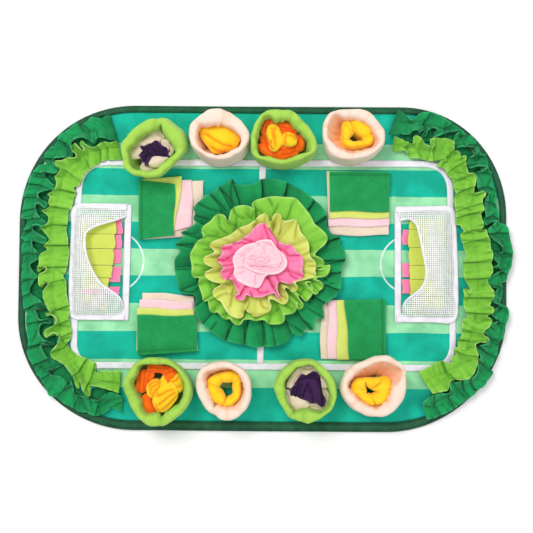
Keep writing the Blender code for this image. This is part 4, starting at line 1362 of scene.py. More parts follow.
# Ruffle strips: the outer and the inner edge as read in the photograph, part by part.
RUFFLES = {
    "green_left": {
        "outer": {
            "far_left": (
                (955, 210), (920, 225), (880, 245), (800, 235), (770, 260), (730, 290), (690, 315), (660, 285),
                (620, 320), (570, 360), (520, 390), (500, 430), (480, 470), (440, 500), (400, 545), (380, 600),
                (390, 625), (440, 632), (400, 645), (340, 660), (310, 690), (265, 740), (255, 790), (240, 830),
                (215, 890), (205, 930), (215, 950), (195, 1040), (180, 1110), (230, 1125), (220, 1190),
                (190, 1260), (180, 1290), (210, 1310), (190, 1350), (185, 1420), (200, 1440),
            ),
            "near_left": (
                (190, 50), (190, 100), (185, 170), (190, 260), (200, 350), (205, 440), (235, 450), (225, 520),
                (230, 600), (245, 680), (245, 740), (235, 800), (250, 850), (285, 910), (310, 980), (320, 1010),
                (340, 1010), (370, 1070), (400, 1130), (430, 1185), (480, 1190), (540, 1240), (600, 1270),
                (640, 1290), (680, 1320), (730, 1330), (750, 1325), (790, 1350), (850, 1360), (900, 1340),
                (950, 1300), (980, 1290), (1060, 1320),
            ),
        },
        "inner": {
            "far_left": (
                (1025, 440), (960, 435), (900, 420), (860, 420), (840, 445), (830, 470), (790, 450), (740, 420),
                (690, 420), (650, 440), (625, 470), (640, 530), (630, 590), (580, 590), (520, 595), (480, 600),
                (470, 620), (480, 650), (510, 680), (520, 700), (480, 730), (430, 720), (400, 710), (375, 715),
                (380, 740), (420, 780), (460, 820), (490, 840), (480, 870), (430, 870), (380, 885), (350, 900),
                (345, 930), (370, 960), (410, 980), (415, 1010), (400, 1030), (380, 1010), (365, 985),
                (340, 985), (320, 1000), (320, 1040), (340, 1090), (370, 1120), (400, 1150), (410, 1170),
                (380, 1190), (330, 1170), (285, 1185), (285, 1210), (320, 1240), (370, 1270), (410, 1300),
                (400, 1330), (360, 1335), (310, 1305), (285, 1320), (300, 1370), (340, 1420), (360, 1450),
                (330, 1480),
            ),
            "near_left": (
                (290, 20), (270, 40), (290, 90), (320, 120), (330, 150), (300, 180), (260, 250), (270, 290),
                (330, 330), (380, 370), (420, 400), (430, 430), (390, 430), (350, 400), (320, 400), (320, 440),
                (345, 510), (380, 520), (430, 510), (455, 530), (440, 555), (400, 540), (370, 550), (350, 590),
                (350, 640), (390, 690), (430, 710), (470, 730), (460, 750), (410, 730), (370, 720), (370, 760),
                (400, 820), (430, 850), (480, 850), (530, 870), (550, 900), (520, 925), (470, 920), (430, 920),
                (420, 960), (450, 1000), (520, 1010), (570, 1050), (600, 1090), (625, 1070), (610, 1030),
                (640, 1100), (640, 1160), (680, 1180), (740, 1190), (790, 1220), (840, 1230), (880, 1200),
                (930, 1160), (980, 1150), (1010, 1160), (1070, 1190),
            ),
        },
    },
    "lime_left": {
        "outer": {
            "far_left": (
                (1025, 440), (960, 460), (900, 455), (860, 480), (830, 505), (790, 500), (740, 470), (715, 440),
                (700, 450), (705, 480), (740, 510), (750, 530), (720, 530), (690, 500), (660, 470), (635, 475),
                (620, 500), (640, 535), (670, 560), (680, 590), (640, 600), (590, 595), (550, 620), (510, 620),
                (480, 620), (475, 635), (510, 670), (540, 700), (500, 740), (475, 745), (490, 780), (500, 830),
                (480, 870), (440, 895), (405, 905), (440, 930), (420, 985), (440, 1010), (400, 1040),
                (355, 1050), (400, 1080), (430, 1110), (410, 1170), (335, 1195), (370, 1220), (410, 1270),
                (430, 1300), (400, 1340), (360, 1355), (400, 1370), (415, 1400), (370, 1420), (345, 1440),
            ),
            "near_left": (
                (345, 40), (325, 70), (330, 100), (360, 100), (375, 70), (400, 50), (420, 70), (400, 100),
                (360, 115), (335, 130), (345, 180), (350, 220), (375, 240), (400, 210), (410, 180), (440, 170),
                (435, 210), (400, 250), (385, 280), (390, 330), (410, 380), (440, 430), (460, 450), (430, 470),
                (400, 460), (410, 485), (450, 470), (490, 490), (510, 520), (490, 560), (440, 590), (400, 610),
                (390, 640), (410, 670), (440, 650), (465, 630), (490, 625), (510, 640), (530, 670), (520, 720),
                (480, 770), (450, 800), (450, 830), (480, 855), (540, 880), (580, 910), (620, 960), (650, 1010),
                (665, 1080), (690, 1115), (703, 1095), (690, 1060), (680, 1020), (700, 1010), (715, 1040),
                (720, 1090), (740, 1150), (760, 1190), (785, 1180), (790, 1150), (770, 1110), (790, 1085),
                (850, 1095), (950, 1120), (1045, 1150),
            ),
        },
        "inner": {
            "far_left": (
                (1060, 605), (1000, 608), (945, 608), (930, 600), (905, 615), (870, 625), (845, 650),
                (810, 670), (780, 690), (745, 720), (720, 770), (700, 810), (680, 835), (640, 850), (662, 900),
                (640, 940), (620, 1030), (590, 1060), (590, 1140), (580, 1180), (575, 1230), (590, 1290),
                (590, 1360), (605, 1420), (590, 1480),
            ),
            "near_left": (
                (590, 30), (560, 120), (545, 135), (570, 180), (575, 230), (580, 300), (595, 370), (605, 440),
                (605, 480), (590, 500), (600, 540), (615, 590), (620, 640), (610, 690), (585, 710), (580, 740),
                (620, 790), (680, 830), (740, 850), (790, 880), (830, 905), (820, 950), (835, 985), (880, 965),
                (940, 970), (1050, 960),
            ),
        },
    },
    "green_right": {
        "outer": {
            "far_right": (
                (415, 160), (470, 210), (520, 255), (560, 240), (600, 200), (650, 190), (720, 195), (800, 235),
                (850, 270), (910, 310), (960, 345), (1000, 390), (1040, 390), (1070, 430), (1100, 480),
                (1120, 540), (1160, 560), (1185, 620), (1190, 680), (1220, 730), (1220, 790), (1240, 850),
                (1255, 920), (1250, 970), (1265, 1020), (1275, 1080), (1270, 1120), (1240, 1125), (1280, 1140),
                (1340, 1165), (1360, 1220), (1375, 1300), (1395, 1410), (1385, 1480),
            ),
            "near_right": (
                (1380, 60), (1350, 120), (1340, 180), (1290, 195), (1310, 260), (1290, 330), (1275, 385),
                (1330, 395), (1360, 430), (1355, 500), (1330, 560), (1315, 620), (1310, 670), (1280, 690),
                (1265, 740), (1260, 790), (1240, 850), (1215, 900), (1190, 930), (1230, 965), (1180, 1030),
                (1155, 1075), (1100, 1110), (1070, 1150), (1040, 1170), (980, 1210), (930, 1240), (870, 1290),
                (800, 1320), (730, 1350), (655, 1365),
            ),
        },
        "inner": {
            "far_right": (
                (325, 385), (400, 380), (500, 385), (530, 355), (560, 350), (600, 365), (580, 378), (620, 350),
                (635, 370), (610, 395), (650, 400), (655, 360), (680, 335), (720, 330), (760, 350), (740, 380),
                (690, 400), (690, 412), (750, 400), (820, 370), (900, 350), (940, 350), (920, 380), (890, 400),
                (885, 450), (895, 495), (950, 490), (1020, 490), (1060, 490), (1080, 540), (1060, 560),
                (1010, 590), (1000, 640), (1020, 670), (1080, 655), (1150, 655), (1165, 670), (1130, 690),
                (1080, 710), (1080, 750), (1080, 820), (1100, 860), (1150, 870), (1185, 890), (1160, 930),
                (1145, 980), (1150, 1050), (1155, 1090), (1135, 1115), (1160, 1160), (1190, 1130), (1240, 1125),
                (1210, 1160), (1175, 1200), (1200, 1260), (1260, 1310), (1330, 1370), (1290, 1390),
                (1225, 1400), (1230, 1450), (1260, 1490), (1215, 1520),
            ),
            "near_right": (
                (1215, 5), (1260, 50), (1305, 90), (1270, 100), (1200, 140), (1175, 180), (1220, 230),
                (1265, 240), (1230, 280), (1215, 350), (1250, 370), (1280, 385), (1240, 420), (1200, 450),
                (1230, 490), (1275, 510), (1240, 530), (1170, 560), (1150, 620), (1170, 700), (1140, 720),
                (1090, 740), (1090, 790), (1110, 820), (1090, 860), (1090, 890), (1080, 960), (1040, 1000),
                (1000, 1020), (950, 1030), (900, 1045), (870, 1040), (850, 1070), (860, 1110), (840, 1140),
                (760, 1140), (700, 1160), (615, 1215),
            ),
        },
    },
    "lime_right": {
        "outer": {
            "far_right": (
                (375, 395), (420, 420), (470, 440), (520, 465), (555, 450), (540, 420), (550, 395), (580, 395),
                (610, 420), (630, 460), (680, 490), (710, 490), (720, 470), (700, 450), (680, 430), (710, 415),
                (760, 415), (820, 420), (880, 440), (880, 490), (880, 525), (920, 525), (940, 560), (950, 575),
                (990, 565), (985, 600), (990, 650), (995, 690), (1005, 720), (1060, 715), (1075, 760),
                (1060, 820), (1050, 860), (1060, 890), (1100, 880), (1155, 870), (1150, 910), (1120, 940),
                (1130, 990), (1140, 1030), (1110, 1055), (1110, 1075), (1130, 1140), (1140, 1160), (1110, 1190),
                (1120, 1205), (1160, 1195), (1165, 1240), (1190, 1280), (1195, 1370), (1215, 1385),
                (1210, 1450),
            ),
            "near_right": (
                (1200, 20), (1215, 100), (1165, 170), (1190, 220), (1225, 280), (1215, 330), (1180, 390),
                (1225, 410), (1215, 450), (1155, 480), (1210, 510), (1190, 560), (1140, 600), (1130, 640),
                (1180, 670), (1175, 700), (1100, 700), (1060, 720), (1080, 780), (1090, 830), (1085, 890),
                (1060, 950), (1020, 1010), (960, 1020), (900, 1020), (850, 1040), (840, 1110), (780, 1125),
                (700, 1140),
            ),
        },
        "inner": {
            "far_right": (
                (365, 530), (410, 525), (460, 520), (490, 540), (510, 580), (560, 585), (600, 590), (640, 600),
                (690, 610), (760, 600), (820, 590), (820, 610), (770, 620), (735, 640), (740, 660), (790, 670),
                (820, 690), (830, 730), (870, 760), (880, 790), (890, 850), (905, 900), (890, 940), (900, 1010),
                (905, 1060), (905, 1150), (930, 1155), (945, 1170), (970, 1210), (945, 1240), (960, 1300),
                (975, 1360), (985, 1400), (980, 1480),
            ),
            "near_right": (
                (975, 0), (970, 80), (975, 150), (1010, 215), (1028, 270), (1020, 300), (1010, 240), (988, 225),
                (970, 260), (975, 310), (970, 380), (985, 430), (1005, 490), (965, 510), (955, 560), (960, 620),
                (930, 690), (920, 750), (900, 750), (895, 790), (912, 800), (870, 830), (865, 870), (830, 880),
                (770, 865), (680, 910), (580, 965),
            ),
        },
    },
}
# Where one pleat ends and the next begins, read on the seam.
PLEAT_ENDS = {
    "green_left": {
        "far_left": (
            (780, 330), (590, 480), (470, 600), (330, 700), (300, 800), (270, 920), (260, 1030), (240, 1120),
            (250, 1210), (240, 1310), (250, 1420),
        ),
        "near_left": (
            (240, 170), (270, 290), (260, 400), (280, 540), (290, 740), (320, 900), (400, 1010), (550, 1130),
            (660, 1250), (850, 1290),
        ),
    },
    "lime_left": {
        "far_left": (
            (940, 530), (880, 550), (760, 600), (620, 730), (560, 870), (530, 1028), (500, 1172), (490, 1355),
        ),
        "near_left": (
            (460, 60), (470, 190), (500, 430), (520, 560), (570, 660), (560, 760), (690, 960), (800, 990),
        ),
    },
    "green_right": {
        "far_right": (
            (620, 290), (810, 320), (950, 370), (1060, 430), (1100, 560), (1170, 690), (1190, 830), (1210, 960),
            (1220, 1080), (1280, 1220), (1310, 1390),
        ),
        "near_right": (
            (1300, 90), (1270, 230), (1280, 400), (1260, 530), (1240, 680), (1190, 800), (1130, 900),
            (1030, 1040), (980, 1110), (860, 1190), (740, 1250),
        ),
    },
    "lime_right": {
        "far_right": (
            (480, 490), (590, 490), (710, 520), (850, 540), (930, 640), (960, 750), (980, 850), (1000, 1008),
            (1010, 1065), (1040, 1200), (1070, 1290), (1090, 1475),
        ),
        "near_right": ((1095, 165), (1095, 325), (1092, 460), (1040, 610), (1035, 700), (960, 800), (850, 990)),
    },
}
# Heights of each strip's outer edge along it, of its seam, of its inner edge along it, and of a pleat.
RUFFLE_HEIGHTS = {
    "green_left": ((0.009, 0.009, 0.010), 0.0068, (0.015, 0.017, 0.016, 0.013, 0.012), 0.0052),
    "lime_left": ((0.013, 0.019, 0.012, 0.011, 0.019, 0.021, 0.020, 0.019), 0.0070, 0.0075, 0.0052),
    "green_right": ((0.012, 0.010, 0.012, 0.012, 0.010), 0.0072, (0.015, 0.017, 0.016, 0.016, 0.015), 0.0052),
    "lime_right": ((0.016, 0.018, 0.020, 0.019, 0.020, 0.016), 0.0072, 0.0120, 0.0052),
}
# How much painted shade lies along each strip's seam, and how far the seam lies from the outer towards the
# inner edge.
RUFFLE_SEAMS = {
    "green_left": (0.0, 0.5),
    "lime_left": (0.15, 0.32),
    "green_right": (0.0, 0.5),
    "lime_right": (0.2, 0.5),
}
# Creases in each strip, as read in the photograph.
RUFFLE_CREASES = {
    "green_left": {
        "far_left": (
            ((530, 430), (590, 530), (580, 600)), ((690, 310), (740, 370), (830, 350), (850, 400)),
            ((640, 440), (600, 500), (620, 560)), ((860, 410), (830, 460)), ((290, 750), (400, 765)),
            ((220, 915), (330, 915)), ((370, 790), (340, 880)), ((400, 720), (470, 790), (485, 850)),
            ((200, 1110), (290, 1080), (310, 1010)), ((280, 1200), (200, 1270)),
            ((270, 1100), (290, 1160), (270, 1210)), ((190, 1420), (260, 1415)),
            ((290, 1290), (300, 1350), (280, 1430)), ((320, 1410), (350, 1450)),
        ),
        "near_left": (
            ((190, 170), (290, 165)), ((270, 200), (260, 270), (330, 330)), ((290, 40), (310, 100)),
            ((230, 440), (280, 400), (330, 380)), ((330, 400), (320, 470), (330, 520)),
            ((350, 400), (400, 440)), ((330, 530), (320, 620), (270, 720)), ((360, 540), (420, 560)),
            ((245, 780), (340, 740), (360, 720)), ((370, 740), (420, 800), (440, 830)),
            ((420, 870), (440, 920)), ((290, 920), (400, 870)), ((340, 930), (430, 1000)),
            ((440, 930), (470, 990), (540, 1000)), ((480, 910), (540, 920)),
            ((540, 1010), (590, 1080), (600, 1110)), ((470, 1180), (570, 1130), (650, 1100)),
            ((640, 1160), (640, 1250)), ((690, 1190), (720, 1250), (760, 1320)), ((680, 1240), (740, 1300)),
            ((780, 1210), (790, 1270)), ((850, 1290), (960, 1230), (1060, 1200)), ((790, 1150), (830, 1200)),
            ((860, 1140), (880, 1170), (930, 1160)), ((960, 1290), (1050, 1250)),
        ),
    },
    "lime_left": {
        "far_left": (
            ((935, 500), (940, 600)), ((870, 530), (880, 600)), ((760, 560), (760, 640), (720, 690)),
            ((710, 640), (620, 720), (615, 760)), ((470, 1020), (600, 1035)), ((440, 1165), (585, 1180)),
            ((430, 1355), (590, 1355)), ((430, 1190), (430, 1330)), ((520, 870), (620, 890)),
            ((690, 480), (740, 560)),
        ),
        "near_left": (
            ((480, 60), (520, 110), (575, 125)), ((455, 90), (455, 230)), ((540, 180), (560, 220)),
            ((455, 430), (600, 440)), ((480, 560), (600, 590)), ((540, 690), (600, 680)),
            ((450, 810), (500, 780)), ((490, 700), (520, 740), (500, 800)),
            ((530, 700), (600, 780), (650, 850)), ((640, 900), (680, 960), (700, 1000)),
            ((820, 960), (860, 980)), ((1050, 1085), (880, 1065), (790, 1085)),
            ((700, 1000), (750, 1060), (770, 1100)),
        ),
    },
    "green_right": {
        "far_right": (
            ((480, 220), (520, 280), (570, 270), (620, 270)), ((590, 300), (650, 300), (800, 330)),
            ((630, 250), (640, 300)), ((830, 280), (810, 340)), ((580, 360), (640, 330)),
            ((690, 320), (730, 360), (800, 350)), ((680, 400), (740, 370)), ((890, 370), (880, 440)),
            ((940, 360), (970, 430), (1000, 410)), ((960, 380), (980, 480)), ((1090, 460), (1050, 500)),
            ((900, 480), (950, 470)), ((1060, 540), (1080, 600), (1130, 560)), ((1010, 650), (1080, 640)),
            ((1180, 640), (1180, 700)), ((1080, 700), (1130, 780), (1150, 850)), ((1220, 740), (1180, 820)),
            ((1160, 870), (1200, 930), (1190, 1030)), ((1240, 900), (1220, 960), (1250, 1000)),
            ((1170, 1100), (1250, 1060)), ((1190, 1150), (1230, 1180), (1260, 1220)),
            ((1300, 1180), (1260, 1230)), ((1230, 1240), (1300, 1300), (1330, 1370)),
            ((1310, 1440), (1385, 1420)), ((1240, 1380), (1310, 1430), (1290, 1500)),
        ),
        "near_right": (
            ((1230, 90), (1330, 80), (1370, 20)), ((1290, 90), (1250, 140), (1190, 180)),
            ((1190, 200), (1270, 240)), ((1300, 100), (1310, 250)), ((1230, 380), (1290, 420)),
            ((1280, 430), (1230, 480), (1170, 540)), ((1260, 510), (1300, 600), (1280, 680)),
            ((1340, 440), (1310, 540)), ((1150, 590), (1200, 640), (1220, 700)), ((1180, 560), (1240, 600)),
            ((1250, 680), (1310, 680)), ((1100, 760), (1140, 740), (1180, 740)),
            ((1110, 740), (1180, 800), (1220, 800)), ((1090, 800), (1100, 870)),
            ((1100, 870), (1170, 900), (1210, 930)), ((1030, 1010), (1060, 1100), (1090, 1120)),
            ((880, 1050), (940, 1130), (980, 1170)), ((960, 1040), (980, 1110)), ((900, 1080), (920, 1150)),
            ((720, 1240), (780, 1190), (860, 1140)), ((860, 1200), (920, 1240)),
            ((640, 1250), (720, 1270), (800, 1240)),
        ),
    },
    "lime_right": {
        "far_right": (
            ((480, 430), (540, 470), (570, 500), (590, 460)), ((470, 490), (520, 540), (580, 520)),
            ((560, 480), (600, 560)), ((690, 480), (680, 560), (660, 600)), ((700, 440), (720, 490)),
            ((850, 500), (860, 570), (820, 590)), ((750, 600), (830, 600)),
            ((890, 530), (950, 570), (960, 600)), ((860, 650), (900, 690), (980, 720)),
            ((960, 640), (980, 700)), ((880, 760), (950, 770), (990, 750)), ((900, 850), (990, 855)),
            ((990, 760), (1030, 790), (1020, 860), (1010, 930)), ((1060, 880), (1050, 950), (1030, 980)),
            ((910, 1010), (990, 1010), (1040, 1030)), ((940, 1070), (1110, 1060)),
            ((970, 1180), (1010, 1210), (1060, 1230)), ((1070, 1200), (1110, 1210), (1140, 1190)),
            ((970, 1290), (1080, 1290), (1190, 1300)), ((980, 1480), (1200, 1475)),
        ),
        "near_right": (
            ((980, 160), (1200, 165)), ((980, 240), (1020, 300), (1030, 320)), ((1020, 325), (1210, 325)),
            ((1150, 180), (1140, 230)), ((990, 450), (1090, 460), (1200, 470)),
            ((970, 530), (1030, 570), (1080, 590)), ((1080, 480), (1090, 540), (1150, 520)),
            ((1050, 600), (1130, 600)), ((960, 610), (1040, 620)), ((1050, 640), (1060, 690), (1150, 690)),
            ((940, 690), (1030, 690)), ((1040, 740), (980, 800), (960, 850)), ((890, 760), (900, 820)),
            ((930, 790), (950, 830)), ((1030, 860), (960, 890), (860, 980)),
            ((790, 880), (830, 970), (850, 1000)), ((850, 1000), (700, 1085)), ((850, 1020), (960, 1010)),
        ),
    },
}


def read_edge(parts):
    return np.vstack([read_at(window, spots, EDGE_READ_HEIGHT) for window, spots in parts.items()])


def add_ruffles():
    for seed, (name, edges) in enumerate(RUFFLES.items()):
        outer, inner = (even_steps(read_edge(edges[edge]), FOLD_STEP) for edge in ("outer", "inner"))
        # The course of each edge without its loops, in 60 even steps. The seam runs between the two.
        ends = [soften(edge, 30)[np.linspace(0, len(edge) - 1, 60).astype(int)] for edge in (outer, inner)]
        seam_shade, seam_share = RUFFLE_SEAMS[name]
        middle = (ends[0] + (ends[1] - ends[0]) * seam_share)[::4]
        middle[0] = outer[0] + (inner[0] - outer[0]) * seam_share
        middle[-1] = outer[-1] + (inner[-1] - outer[-1]) * seam_share
        line = Line(middle)
        spots = read_edge(PLEAT_ENDS[name])
        share = np.linspace(0, 1, 400)
        away = np.linalg.norm(line.at(share)[:, :2] - spots[:, None], axis=-1)
        tiles = np.sort(share[away.argmin(axis=1)])
        heights, creases, first = RUFFLE_HEIGHTS[name], RUFFLE_CREASES[name], SEEDS["ruffle"]
        patches = [strip_grid(outer, inner, line, tiles, heights, seam_shade, creases, first + seed)]
        cloth = name.split("_")[0]
        if cloth == "green":
            patches.append(under_layer(line, inner, SEEDS["under_layer"] + seed))
        piece = add_piece("ruffle_cloth_" + name, cloth, ["ruffle_" + name], patches, RUFFLE_CLOTH)


# ---------------------------------------------------------------- flower
FLOWER_CENTRE = (784, 854)
# Each layer: the height of its seam and of its edge, and the edge as read in the photograph.
FLOWER = {
    "green": (
        0.0085, 0.0135,
        (
            (545, 125), (560, 165), (620, 175), (700, 170), (760, 150), (795, 125), (880, 120), (950, 130),
            (1025, 155), (1100, 190), (1180, 240), (1250, 300), (1320, 360), (1360, 430), (1365, 500),
            (1380, 560), (1420, 610), (1480, 630), (1480, 690), (1520, 750), (1530, 820), (1500, 880),
            (1490, 940), (1490, 1005), (1486, 1052), (1467, 1107), (1440, 1146), (1377, 1185), (1330, 1232),
            (1338, 1286), (1336, 1337), (1299, 1333), (1260, 1341), (1256, 1380), (1252, 1427), (1232, 1439),
            (1189, 1419), (1170, 1443), (1162, 1470), (1119, 1490), (1088, 1474), (1074, 1458), (1049, 1498),
            (1025, 1533), (980, 1560), (900, 1580), (820, 1580), (740, 1590), (680, 1570), (600, 1560),
            (490, 1530), (420, 1500), (350, 1440), (290, 1390), (240, 1330), (215, 1250), (230, 1180),
            (200, 1130), (130, 1120), (80, 1090), (70, 1030), (50, 960), (40, 880), (45, 820), (90, 750),
            (50, 700), (75, 660), (130, 620), (100, 590), (170, 550), (230, 500), (205, 470), (220, 420),
            (205, 380), (230, 340), (300, 280), (350, 250), (420, 200), (480, 160),
        ),
    ),
    "lime": (
        0.0165, 0.030,
        (
            (735, 310), (800, 290), (900, 272), (1000, 278), (1090, 285), (1130, 320), (1180, 380), (1230, 450),
            (1260, 510), (1310, 550), (1360, 600), (1375, 640), (1350, 690), (1300, 730), (1270, 760),
            (1265, 790), (1310, 810), (1345, 840), (1345, 865), (1310, 880), (1270, 890), (1290, 910),
            (1340, 910), (1380, 900), (1395, 870), (1395, 910), (1370, 960), (1320, 975), (1290, 975),
            (1270, 1000), (1300, 1010), (1335, 1040), (1335, 1070), (1300, 1100), (1285, 1125), (1245, 1110),
            (1250, 1060), (1230, 1020), (1190, 1025), (1205, 1060), (1240, 1090), (1240, 1130), (1210, 1170),
            (1190, 1190), (1150, 1150), (1120, 1130), (1120, 1160), (1150, 1200), (1165, 1230), (1140, 1260),
            (1110, 1240), (1110, 1210), (1100, 1200), (1105, 1250), (1080, 1290), (1030, 1300), (990, 1310),
            (1000, 1340), (980, 1380), (920, 1390), (860, 1385), (830, 1355), (790, 1350), (740, 1360),
            (700, 1345), (640, 1350), (620, 1380), (590, 1400), (550, 1380), (520, 1340), (470, 1345),
            (440, 1310), (410, 1280), (380, 1290), (350, 1280), (340, 1240), (330, 1180), (290, 1190),
            (280, 1140), (260, 1080), (245, 1040), (255, 980), (210, 980), (185, 950), (190, 880), (175, 810),
            (175, 770), (210, 710), (230, 670), (280, 640), (290, 610), (270, 570), (290, 530), (350, 490),
            (390, 440), (420, 425), (470, 440), (490, 480), (510, 490), (520, 440), (540, 380), (590, 355),
            (660, 350), (710, 370), (740, 380), (718, 345),
        ),
    ),
    "yellow": (
        0.0240, 0.039,
        (
            (830, 420), (850, 440), (870, 490), (890, 490), (905, 440), (935, 415), (960, 430), (975, 470),
            (1000, 490), (1050, 480), (1085, 470), (1110, 490), (1130, 560), (1150, 600), (1190, 640),
            (1210, 690), (1215, 760), (1230, 810), (1265, 840), (1275, 870), (1265, 920), (1275, 965),
            (1230, 985), (1170, 1000), (1115, 1010), (1090, 1030), (1110, 1060), (1110, 1090), (1080, 1110),
            (1040, 1080), (1010, 1060), (1000, 1090), (1030, 1150), (1020, 1200), (980, 1215), (930, 1185),
            (880, 1165), (860, 1190), (880, 1230), (860, 1280), (800, 1310), (740, 1320), (690, 1290),
            (650, 1260), (630, 1320), (600, 1340), (540, 1320), (500, 1290), (470, 1240), (440, 1190),
            (390, 1160), (370, 1120), (390, 1080), (440, 1050), (430, 1030), (360, 1010), (310, 980),
            (300, 940), (340, 920), (370, 895), (310, 860), (285, 830), (300, 800), (360, 780), (390, 750),
            (350, 710), (350, 680), (400, 655), (480, 630), (540, 600), (600, 550), (680, 520), (730, 490),
            (780, 440),
        ),
    ),
    "pink": (
        0.0330, 0.045,
        (
            (800, 505), (830, 510), (870, 560), (910, 620), (950, 670), (1000, 690), (1060, 700), (1110, 760),
            (1155, 800), (1160, 870), (1150, 920), (1165, 970), (1120, 1000), (1050, 1035), (990, 1020),
            (955, 1015), (935, 1040), (935, 1100), (965, 1165), (940, 1155), (915, 1120), (880, 1120),
            (800, 1150), (720, 1150), (660, 1130), (640, 1170), (600, 1180), (570, 1165), (570, 1135),
            (600, 1130), (580, 1080), (560, 1030), (540, 1000), (510, 990), (480, 1000), (450, 980), (440, 930),
            (465, 900), (440, 860), (410, 830), (430, 800), (455, 770), (445, 720), (470, 700), (560, 680),
            (620, 650), (700, 590), (740, 540), (780, 510),
        ),
    ),
}
FLOWER_STEP = 0.0012
FLOWER_ROWS = (-0.7, -0.3, 0, 0.08, 0.16, 0.24, 0.32, 0.40, 0.48, 0.56, 0.64, 0.72, 0.80, 0.87, 0.93, 0.97, 1)
FLOWER_SEAM_RADII = {"green": 0.058, "lime": 0.040, "yellow": 0.030, "pink": 0.018}
FLOWER_PLEAT_HEIGHT = 0.0056
FLOWER_CREASE_DEPTH = 0.0026
FLOWER_CREASE_WIDTHS = {"green": 0.0016, "lime": 0.0022, "yellow": 0.0022, "pink": 0.0022}
FLOWER_FINISHES = {"green": "green", "lime": "lime", "yellow": "yellow_green", "pink": "hot_pink"}
# Places round the green disc, in degrees, where one box pleat ends and the next begins.
FLOWER_PLEATS = (
    2.6, 17.8, 36.4, 48.8, 71, 88.7, 110.5, 119, 126, 146.4, 159, 168, 183.6, 198.5, 215, 227.3, 246.5, 259.2,
    273, 281, 294, 308.4, 329, 342, 353,
)


# Creases in each layer, as read in the photograph.
FLOWER_CREASES = {
    "green": (
        ((545, 130), (530, 240), (545, 340)), ((430, 210), (500, 270), (545, 340)),
        ((355, 265), (430, 330), (490, 400)), ((240, 330), (340, 380), (470, 410)), ((215, 440), (330, 470)),
        ((110, 590), (190, 600), (250, 560)), ((60, 700), (190, 690)), ((50, 910), (180, 905)),
        ((110, 1100), (200, 1105), (250, 1070)), ((795, 130), (820, 270)), ((1020, 160), (1010, 270)),
        ((1250, 300), (1215, 385)), ((1370, 460), (1310, 500)), ((1480, 640), (1390, 660), (1340, 700)),
        ((1525, 830), (1390, 860)), ((1490, 930), (1390, 960), (1340, 1010)),
        ((1197, 1200), (1260, 1138), (1346, 1060), (1428, 1025)), ((1197, 1247), (1260, 1286), (1330, 1328)),
        ((1142, 1349), (1205, 1380), (1236, 1427)), ((1025, 1380), (1088, 1412), (1150, 1458)),
        ((820, 1400), (835, 1560)), ((645, 1400), (660, 1560)), ((515, 1430), (490, 1530)),
        ((405, 1370), (360, 1430)),
    ),
    "lime": (
        ((940, 360), (915, 400), (900, 440)), ((1060, 350), (1040, 420), (1020, 470)), ((860, 300), (900, 370)),
        ((1210, 690), (1230, 760)), ((552, 372), (559, 405), (580, 435), (610, 456), (652, 465), (700, 464)),
        ((655, 420), (682, 438), (712, 465)), ((712, 471), (733, 432), (748, 387)), ((770, 396), (800, 414)),
        ((742, 375), (755, 399)), ((586, 465), (577, 502), (568, 544)), ((430, 460), (440, 550), (500, 600)),
        ((500, 480), (540, 520), (590, 540), (560, 590)), ((400, 600), (440, 560)),
        ((290, 640), (350, 620), (420, 625)), ((300, 740), (380, 740)), ((220, 870), (290, 880), (320, 910)),
        ((250, 960), (300, 960)), ((330, 1000), (370, 1060), (385, 1090)), ((350, 1180), (400, 1160)),
        ((460, 1300), (500, 1290)), ((1000, 1220), (1060, 1250)), ((1130, 1130), (1160, 1090), (1150, 1050)),
        ((1230, 1000), (1250, 1050), (1300, 1110)), ((1290, 900), (1250, 920)), ((860, 1370), (880, 1300)),
        ((950, 1250), (900, 1290)),
    ),
    "yellow": (
        ((855, 430), (870, 500), (890, 540)), ((890, 490), (900, 560)), ((975, 470), (960, 560), (950, 610)),
        ((1110, 490), (1095, 560), (1085, 640)), ((1210, 760), (1150, 790)), ((1270, 880), (1200, 880)),
        ((740, 480), (760, 500), (730, 540)), ((600, 560), (640, 600)), ((400, 720), (470, 740)),
        ((370, 800), (440, 790)), ((370, 895), (440, 890)), ((440, 1030), (500, 1030), (560, 1060)),
        ((400, 1160), (480, 1120), (560, 1130)), ((560, 1060), (540, 1160), (530, 1230)),
        ((690, 1180), (680, 1230), (640, 1280)), ((790, 1180), (810, 1230), (850, 1250)),
        ((700, 1290), (780, 1300), (860, 1280)), ((940, 1080), (960, 1130), (1000, 1150)),
        ((1040, 1080), (1000, 1090)),
    ),
    "pink": (
        ((820, 530), (860, 640), (900, 700)), ((860, 560), (930, 660), (940, 720), (1010, 760)),
        ((640, 650), (720, 670), (650, 690)), ((560, 690), (640, 680)), ((460, 740), (540, 720)),
        ((470, 840), (540, 790), (560, 780)), ((470, 880), (550, 870)), ((510, 990), (550, 930)),
        ((560, 1000), (600, 1060)), ((1120, 790), (1040, 790), (1010, 770)),
        ((1020, 900), (1050, 960), (1100, 990)), ((930, 980), (950, 1010)),
        ((830, 960), (870, 1000), (900, 1060)), ((760, 1080), (790, 1110), (860, 1100)),
        ((700, 1100), (720, 1140)),
    ),
}


